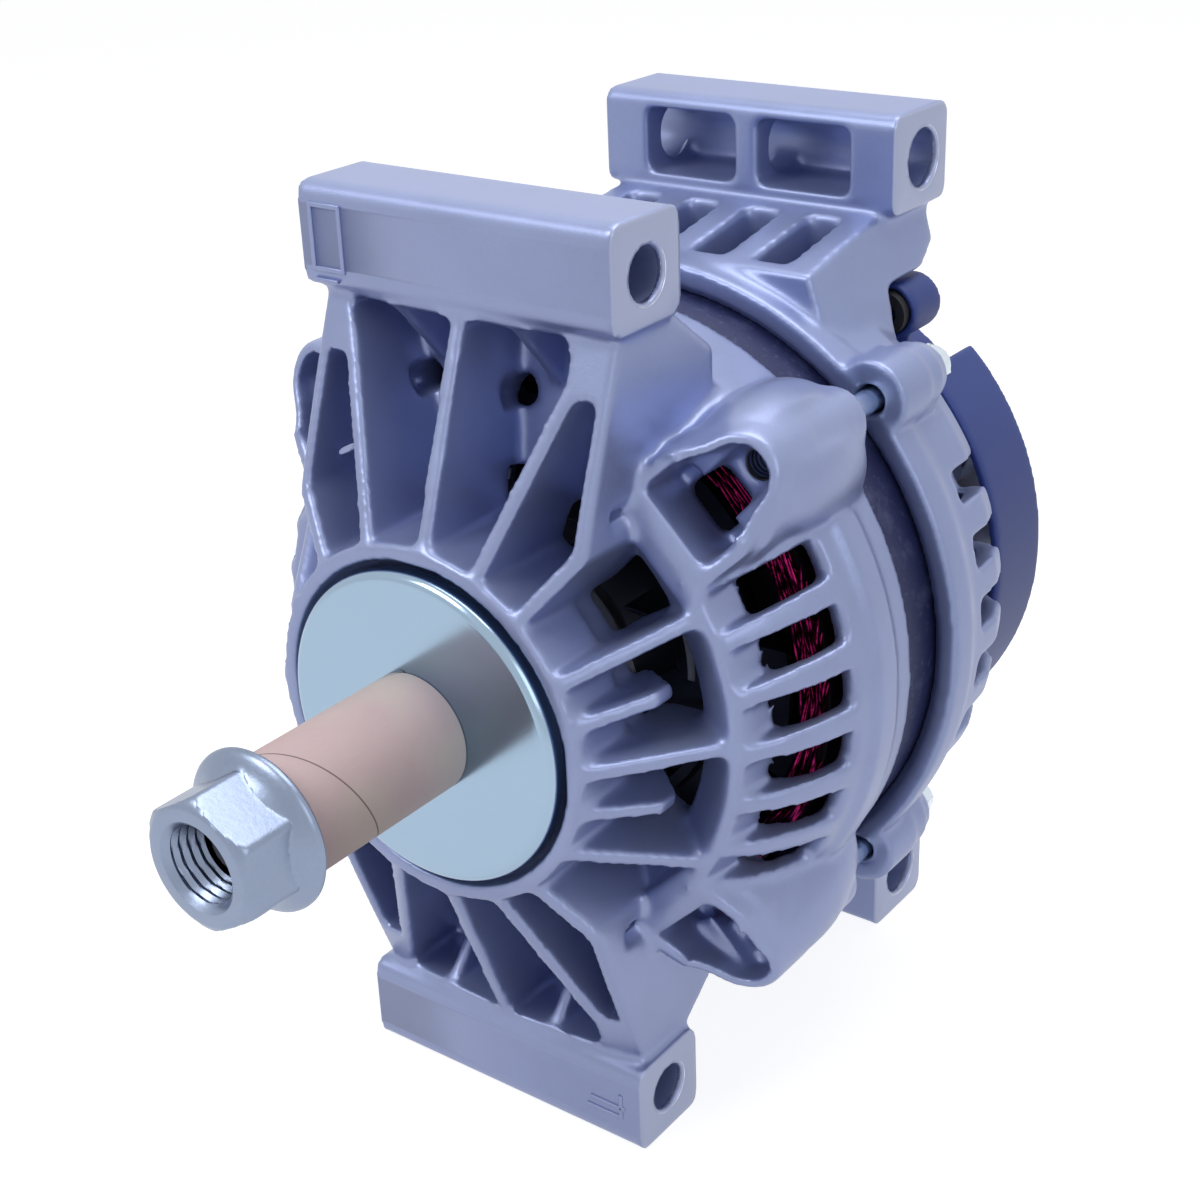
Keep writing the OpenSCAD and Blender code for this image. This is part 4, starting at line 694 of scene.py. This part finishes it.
sleeve_r, sleeve_bore = sleeve_hi.x, 9.0
tube = [(sleeve_r - 0.25, sleeve_lo.y + 0.02), (sleeve_r, sleeve_lo.y + 0.3), (sleeve_r, sleeve_hi.y - 0.3),
        (sleeve_r - 0.25, sleeve_hi.y - 0.02), (sleeve_bore, sleeve_hi.y - 0.02), (sleeve_bore, sleeve_lo.y + 0.02)]
settled("sleeve_tube", turned(tube, 128, loop=True), nodes["shipping_sleeve"]["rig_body"], sleeve_board,
        ("shipping_sleeve",), sharp=50)

cap_r, cap_face, cap_rim, cap_bore = cap_hi.x, cap_lo.y, cap_hi.y, 8.7
edge = 1.9  # the radius that the cap's rim is rolled to
rolled = [(cap_bore, cap_face + 0.04), (14.0, cap_face + 0.04), (22.0, cap_face + 0.02),
          (cap_r - edge - 1.2, cap_face)]
rolled += arc_points(cap_r - edge, cap_face + edge, edge, -90, 0, 10)
rolled += [(cap_r, cap_rim - 0.5), (cap_r - 0.12, cap_rim - 0.12), (cap_r - 0.5, cap_rim), (cap_r - 1.1, cap_rim - 0.1)]
rolled += arc_points(cap_r - edge - 0.2, cap_face + edge + 0.2, edge - 1.0, 0, -90, 5) + [(cap_bore, cap_face + 1.4)]
settled("dust_cap_rolled", turned(rolled, 180, loop=True), nodes["dust_cap"]["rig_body"], zinc_plate, ("dust_cap",),
        sharp=40)

# The shaft's end inside the nut, with its hexagon socket, in near-black steel as painted shade deep in the nut's hole
socket_flats = 6.0
socket = hex_radius(socket_flats)
tip = [(7.1, 7.4), (7.35, 7.0), (7.35, 0.9), (6.3, 0.0), (4.6, 0.0), (hex_radius(socket_flats + 0.2), 0.25),
       (socket, 0.9), (socket, 5.0), (1.0, 6.2)]
settled("shaft_tip", turned([(radius, shaft_tip_y + depth) for radius, depth in tip], 96),
        nodes["rotor_shaft"]["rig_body"], shade_dark_steel, sharp=30)


# Front fan with pressed rings and leaning blades
def fan_blade(in_r, out_r, low, high, lean, thick):
    """One fan blade, curved outwards and rolled at its free edge."""
    mesh = bmesh.new()
    rows = []
    for k in range(9):
        share = k / 8
        r = in_r + (out_r - in_r) * share
        turn = -math.radians(lean) * math.sin(share * math.pi / 2) * 0.62
        x, z = r * math.cos(turn), r * math.sin(turn)
        across = Vector((math.sin(turn + 0.3), 0, -math.cos(turn + 0.3)))
        free_edge = low + 1.6 * (1 - share) ** 2
        here = Vector((x, 0, z))
        section = ((-1, high), (-1, free_edge + 0.3), (-0.5, free_edge), (0.5, free_edge), (1, free_edge + 0.3),
                   (1, high))
        rows.append([mesh.verts.new((here + across * side * thick / 2 + AXIS_Y * level) * MM)
                     for side, level in section])
    lofted(mesh, rows)
    bmesh.ops.recalc_face_normals(mesh, faces=mesh.faces)
    return mesh


plate_y, blade_count = fan_hi.y, 10
plate = [(16.0, 0.0), (16.0, 1.4), (27.0, 1.4), (28.0, 2.6), (30.6, 2.6), (31.6, 1.4), (35.4, 1.4), (36.2, 3.4),
         (38.4, 3.4), (39.2, 1.4), (43.6, 1.4), (44.2, 2.2), (46.6, 2.0), (46.6, 0.0)]
plate = [(radius, plate_y - rise) for radius, rise in plate]
settled("fan_plate", turned(plate, 120, loop=True), nodes["front_fan"]["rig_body"], fan_steel, ("front_fan",), sharp=30)
blade = fan_blade(27.5, 47.2, fan_lo.y + 0.1, plate_y - 0.7, 24, 1.5)
blades = repeated(blade, "fan_blades", blade_count, fan_steel)
settled("fan_blades", blades, nodes["front_fan"]["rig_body"], fan_steel, sharp=40)


# Stator winding
def coil_arch(slot_y, crown_y, in_r, out_r, wires, seed):
    """One bundle of enamelled wires that rises out of a slot, crosses over and goes back in."""
    rng = np.random.default_rng(seed)
    mesh = bmesh.new()
    rise = crown_y - slot_y
    for w in range(wires):
        around, reach = rng.uniform(0, 2 * math.pi), 0.4 + 2.2 * math.sqrt(rng.uniform(0, 1))
        start, stop = math.radians(rng.uniform(-2.0, 2.0)), math.radians(30 + rng.uniform(-2.0, 2.0))
        high = rng.uniform(0.82, 1.0)
        twist = rng.uniform(2.2, 4.2)
        path = []
        for k in range(15):
            q = k / 14
            r = in_r + (out_r - in_r) * q + math.cos(around + twist * q) * reach
            sag = abs(math.sin(around + twist * q)) * reach * 0.5 * (1 if rise > 0 else -1) * math.sin(math.pi * q)
            y = slot_y + rise * high * math.sin(math.pi * q) ** 0.55 - sag
            turn = start + (stop - start) * (q - 0.08 * math.sin(2 * math.pi * q))
            path.append((r * math.cos(turn) * MM, y * MM, r * math.sin(turn) * MM))
        swept_wire(mesh, path, wire_r * MM, 5)
    bmesh.ops.recalc_face_normals(mesh, faces=mesh.faces)
    return mesh


def winding_former(y0, y1):
    """The bed under the end turns, near black as painted shade between and behind the wires."""
    low, high = min(y0, y1), max(y0, y1)
    return [(56.6, low), (61.6, low), (62.0, (low + high) / 2), (62.0, high), (56.2, high), (56.2, (low + high) / 2)]


bed_front, bed_rear, slot_count, wires_each, wire_r = 23.5, 71.0, 36, 9, 0.48
bed = turned(winding_former(bed_front, stack_lo.y), 96, loop=True)
turned(winding_former(stack_hi.y, bed_rear), 96, loop=True, mesh=bed)
settled("winding_bed", bed, nodes["stator_winding"]["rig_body"], shade_black_lacquer, ("stator_winding",), sharp=40)
for name, slot_y, crown_y, seed in (("front_end_turns", stack_lo.y + 0.5, winding_lo.y + 1.6, 11),
                                    ("rear_end_turns", stack_hi.y - 0.5, winding_hi.y - 1.6, 23)):
    arch = coil_arch(slot_y, crown_y, 57.8, 60.2, wires_each, seed)
    turns = repeated(arch, name, slot_count, copper_with_painted_glints)
    wound = settled(name, turns, nodes["stator_winding"]["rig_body"], copper_with_painted_glints, sharp=0)


# Through bolts with rolled heads
def bolt_shape():
    """One through bolt on the bolt circle, which the repeat turns to its place."""
    across_flats, corner_r = 8.0, 4.5
    head = hex_radius(across_flats, 0.0, corner_r)
    end = bolts_hi.y
    rings = [(1.9, bolts_lo.y), (2.5, bolts_lo.y + 0.8), (2.5, end - 4.7), (4.3, end - 4.6), (4.48, end - 4.4),
             (4.48, end - 3.8), (4.2, end - 3.6), (head, end - 3.5), (head, end - 0.9),
             (lambda t: min(head(t), 4.0), end - 0.3), (3.6, end)]
    return turned(rings, 36, centre=(bolt_circle, 0.0))


bolts = repeated(bolt_shape(), "through_bolts_rolled", 4, zinc_thread, bolt_turns[0])
settled("through_bolts_rolled", bolts, nodes["through_bolts"]["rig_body"], zinc_thread, ("through_bolts",), sharp=30)


# Brush springs, wound between the corners of their nodes
def coil_spring(low, high, turns, wire):
    """A wire spring along X between the two corners of its node, in metres, with closer turns at its ends."""
    mesh = bmesh.new()
    middle_y, middle_z = (low.y + high.y) / 2, (low.z + high.z) / 2
    coil = (high.y - low.y) / 2 - wire
    start, length = low.x + wire, high.x - low.x - 2 * wire
    steps, rings = turns * 20, []
    for k in range(steps + 1):
        q = 2 * math.pi * turns * k / steps
        share = k / steps - 0.75 * math.sin(2 * math.pi * k / steps) / (2 * math.pi)
        out = Vector((0, math.cos(q), math.sin(q)))
        side = Vector((length / (2 * math.pi * turns), -coil * math.sin(q), coil * math.cos(q))).normalized().cross(out)
        spot = Vector((start + length * share, middle_y, middle_z)) + out * coil
        rings.append([mesh.verts.new(spot + (out * math.cos(t) + side * math.sin(t)) * wire)
                      for t in (2 * math.pi * m / 8 for m in range(8))])
    bmesh.ops.recalc_face_normals(mesh, faces=lofted(mesh, rings))
    return mesh


brush_travel, spring_turns, spring_wire = 5.5 * MM, 7, 0.24 * MM
for side_name in ("inner", "outer"):
    label = side_name + "_brush_spring"
    low, high = (Vector(corner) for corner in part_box(label))
    wound_spring = coil_spring(low, high, spring_turns, spring_wire)
    spring = settled(label + "_coil", wound_spring, nodes[label]["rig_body"], bearing_steel, (label,), sharp=0)
    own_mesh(spring)


# Raised foundry marks on the blocks
def flat_bar(mesh, low, high, bevel=0.25):
    """A small raised bar between two corners in mm, with worn edges."""
    made = bmesh.ops.create_cube(mesh, size=1.0)["verts"]
    low, high = Vector(low), Vector(high)
    for vert in made:
        vert.co = Vector([(low[k] + high[k]) / 2 + vert.co[k] * (high[k] - low[k]) for k in range(3)]) * MM
    edges = {e for v in made for e in v.link_edges}
    bmesh.ops.bevel(mesh, geom=list(edges), offset=bevel * MM, segments=2, affect="EDGES", profile=0.6)


marks = bmesh.new()
for x0, x1, z0, z1 in ((-34.4, -33.4, 83.2, 95.4), (-27.0, -26.0, 83.2, 95.4), (-34.4, -26.0, 82.6, 83.6),
                       (-34.4, -26.0, 95.0, 96.0), (-34.0, -28.0, 80.6, 81.3), (24.0, 33.0, -90.2, -89.3),
                       (23.0, 32.0, -92.6, -91.7), (31.4, 32.4, -92.4, -86.4)):
    flat_bar(marks, (x0, block_front - 0.35, z0), (x1, block_front + 0.6, z1))
settled("foundry_marks", marks, nodes["drive_end_frame"]["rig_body"], front_cast, sharp=60)


# Camera, light and floor
view_turn, view_rise, view_roll = math.radians(37.43), math.radians(25.135), math.radians(-2.319)
view_distance = 466.479 * MM
view_centre = Vector((-22.232, 60.0, -12.866)) * MM
back = Vector((math.sin(view_turn) * math.cos(view_rise), -math.cos(view_turn) * math.cos(view_rise),
               math.sin(view_rise)))
right = Vector((math.cos(view_turn), math.sin(view_turn), 0))
up = back.cross(right)
roll_cos, roll_sin = math.cos(view_roll), math.sin(view_roll)
right, up = right * roll_cos + up * roll_sin, up * roll_cos - right * roll_sin
lens = bpy.data.cameras.new("photo_view")
lens.lens, lens.sensor_width, lens.clip_start, lens.clip_end = 59.53, 36.0, 0.01, 50.0
camera = bpy.data.objects.new("photo_view", lens)
camera.matrix_world = Matrix((
    (right.x, up.x, back.x, 0), (right.y, up.y, back.y, 0), (right.z, up.z, back.z, 0), (0, 0, 0, 1)))
camera.location = view_centre + back * view_distance
bpy.context.scene.collection.objects.link(camera)
bpy.context.scene.camera = camera


def background_rays(build):
    """1 for the rays that see the white background: from the camera, in reflections and through glass."""
    path = build.node("ShaderNodeLightPath").outputs
    return build.math("MAXIMUM", path["Is Camera Ray"], build.math(
        "MAXIMUM", path["Is Glossy Ray"], path["Is Transmission Ray"]))


scene = bpy.context.scene
scene.view_settings.view_transform = "Standard"
world = bpy.data.worlds.new("studio")
scene.world = world
world.use_nodes = True
sky = Tree(world.node_tree)
world.node_tree.nodes.clear()
facing = sky.node("ShaderNodeTexCoord").outputs["Generated"]
height = sky.node("ShaderNodeSeparateXYZ", {"Vector": facing}).outputs["Z"]
dome = sky.mix(sky.ramp(height, -0.3, 0.7), (0.3, 0.32, 0.38, 1.0), (0.95, 0.97, 1.0, 1.0))
soft = sky.node("ShaderNodeBackground", {"Color": dome, "Strength": 0.17}).outputs[0]
plain = sky.node("ShaderNodeBackground", {"Color": (1, 1, 1, 1), "Strength": 1.0}).outputs[0]
both = sky.node("ShaderNodeMixShader", {0: background_rays(sky), 1: soft, 2: plain}).outputs[0]
sky.link(both, sky.node("ShaderNodeOutputWorld").inputs["Surface"])


def softbox(name, place, aim, width, height, power, tint=(1, 1, 1)):
    """A soft area lamp aimed at a point, in metres and watts."""
    lamp = bpy.data.lights.new(name, "AREA")
    lamp.shape, lamp.size, lamp.size_y, lamp.energy, lamp.color = "RECTANGLE", width, height, power, tint
    holder = bpy.data.objects.new(name, lamp)
    holder.location = place
    holder.rotation_mode = "QUATERNION"
    holder.rotation_quaternion = (Vector(place) - Vector(aim)).to_track_quat("Z", "Y")
    scene.collection.objects.link(holder)


middle = (0, 0.03, 0)
softbox("key_box", (-0.25, -0.5, 0.66), middle, 0.4, 0.4, 2.7)
softbox("side_box", (0.9, -0.25, 0.45), middle, 0.6, 0.5, 1.3, (0.94, 0.96, 1.0))
softbox("top_box", (0.05, 0.2, 0.7), middle, 0.6, 0.5, 3.0)

floor_mesh = bmesh.new()
floor_z = cad_box[0].z - 0.2 * MM
bmesh.ops.create_grid(floor_mesh, x_segments=1, y_segments=1, size=6.0)
bmesh.ops.translate(floor_mesh, verts=floor_mesh.verts, vec=(0, 0, floor_z))
floor_data = bpy.data.meshes.new("floor")
floor_mesh.to_mesh(floor_data)
floor_mesh.free()
floor_material = bpy.data.materials.new("pale_floor")
floor_material.use_nodes = True
floor_tree = Tree(floor_material.node_tree)
floor_shader = floor_material.node_tree.nodes["Principled BSDF"]
floor_shader.inputs["Base Color"].default_value = (0.42, 0.42, 0.43, 1)
floor_shader.inputs["Roughness"].default_value = 0.9
glow = floor_tree.mix(background_rays(floor_tree), (0, 0, 0, 1), (0.86, 0.86, 0.86, 1))
floor_tree.link(glow, floor_shader.inputs["Emission Color"])
floor_shader.inputs["Emission Strength"].default_value = 1.0
floor_data.materials.append(floor_material)
floor = bpy.data.objects.new("floor", floor_data)
scene.collection.objects.link(floor)
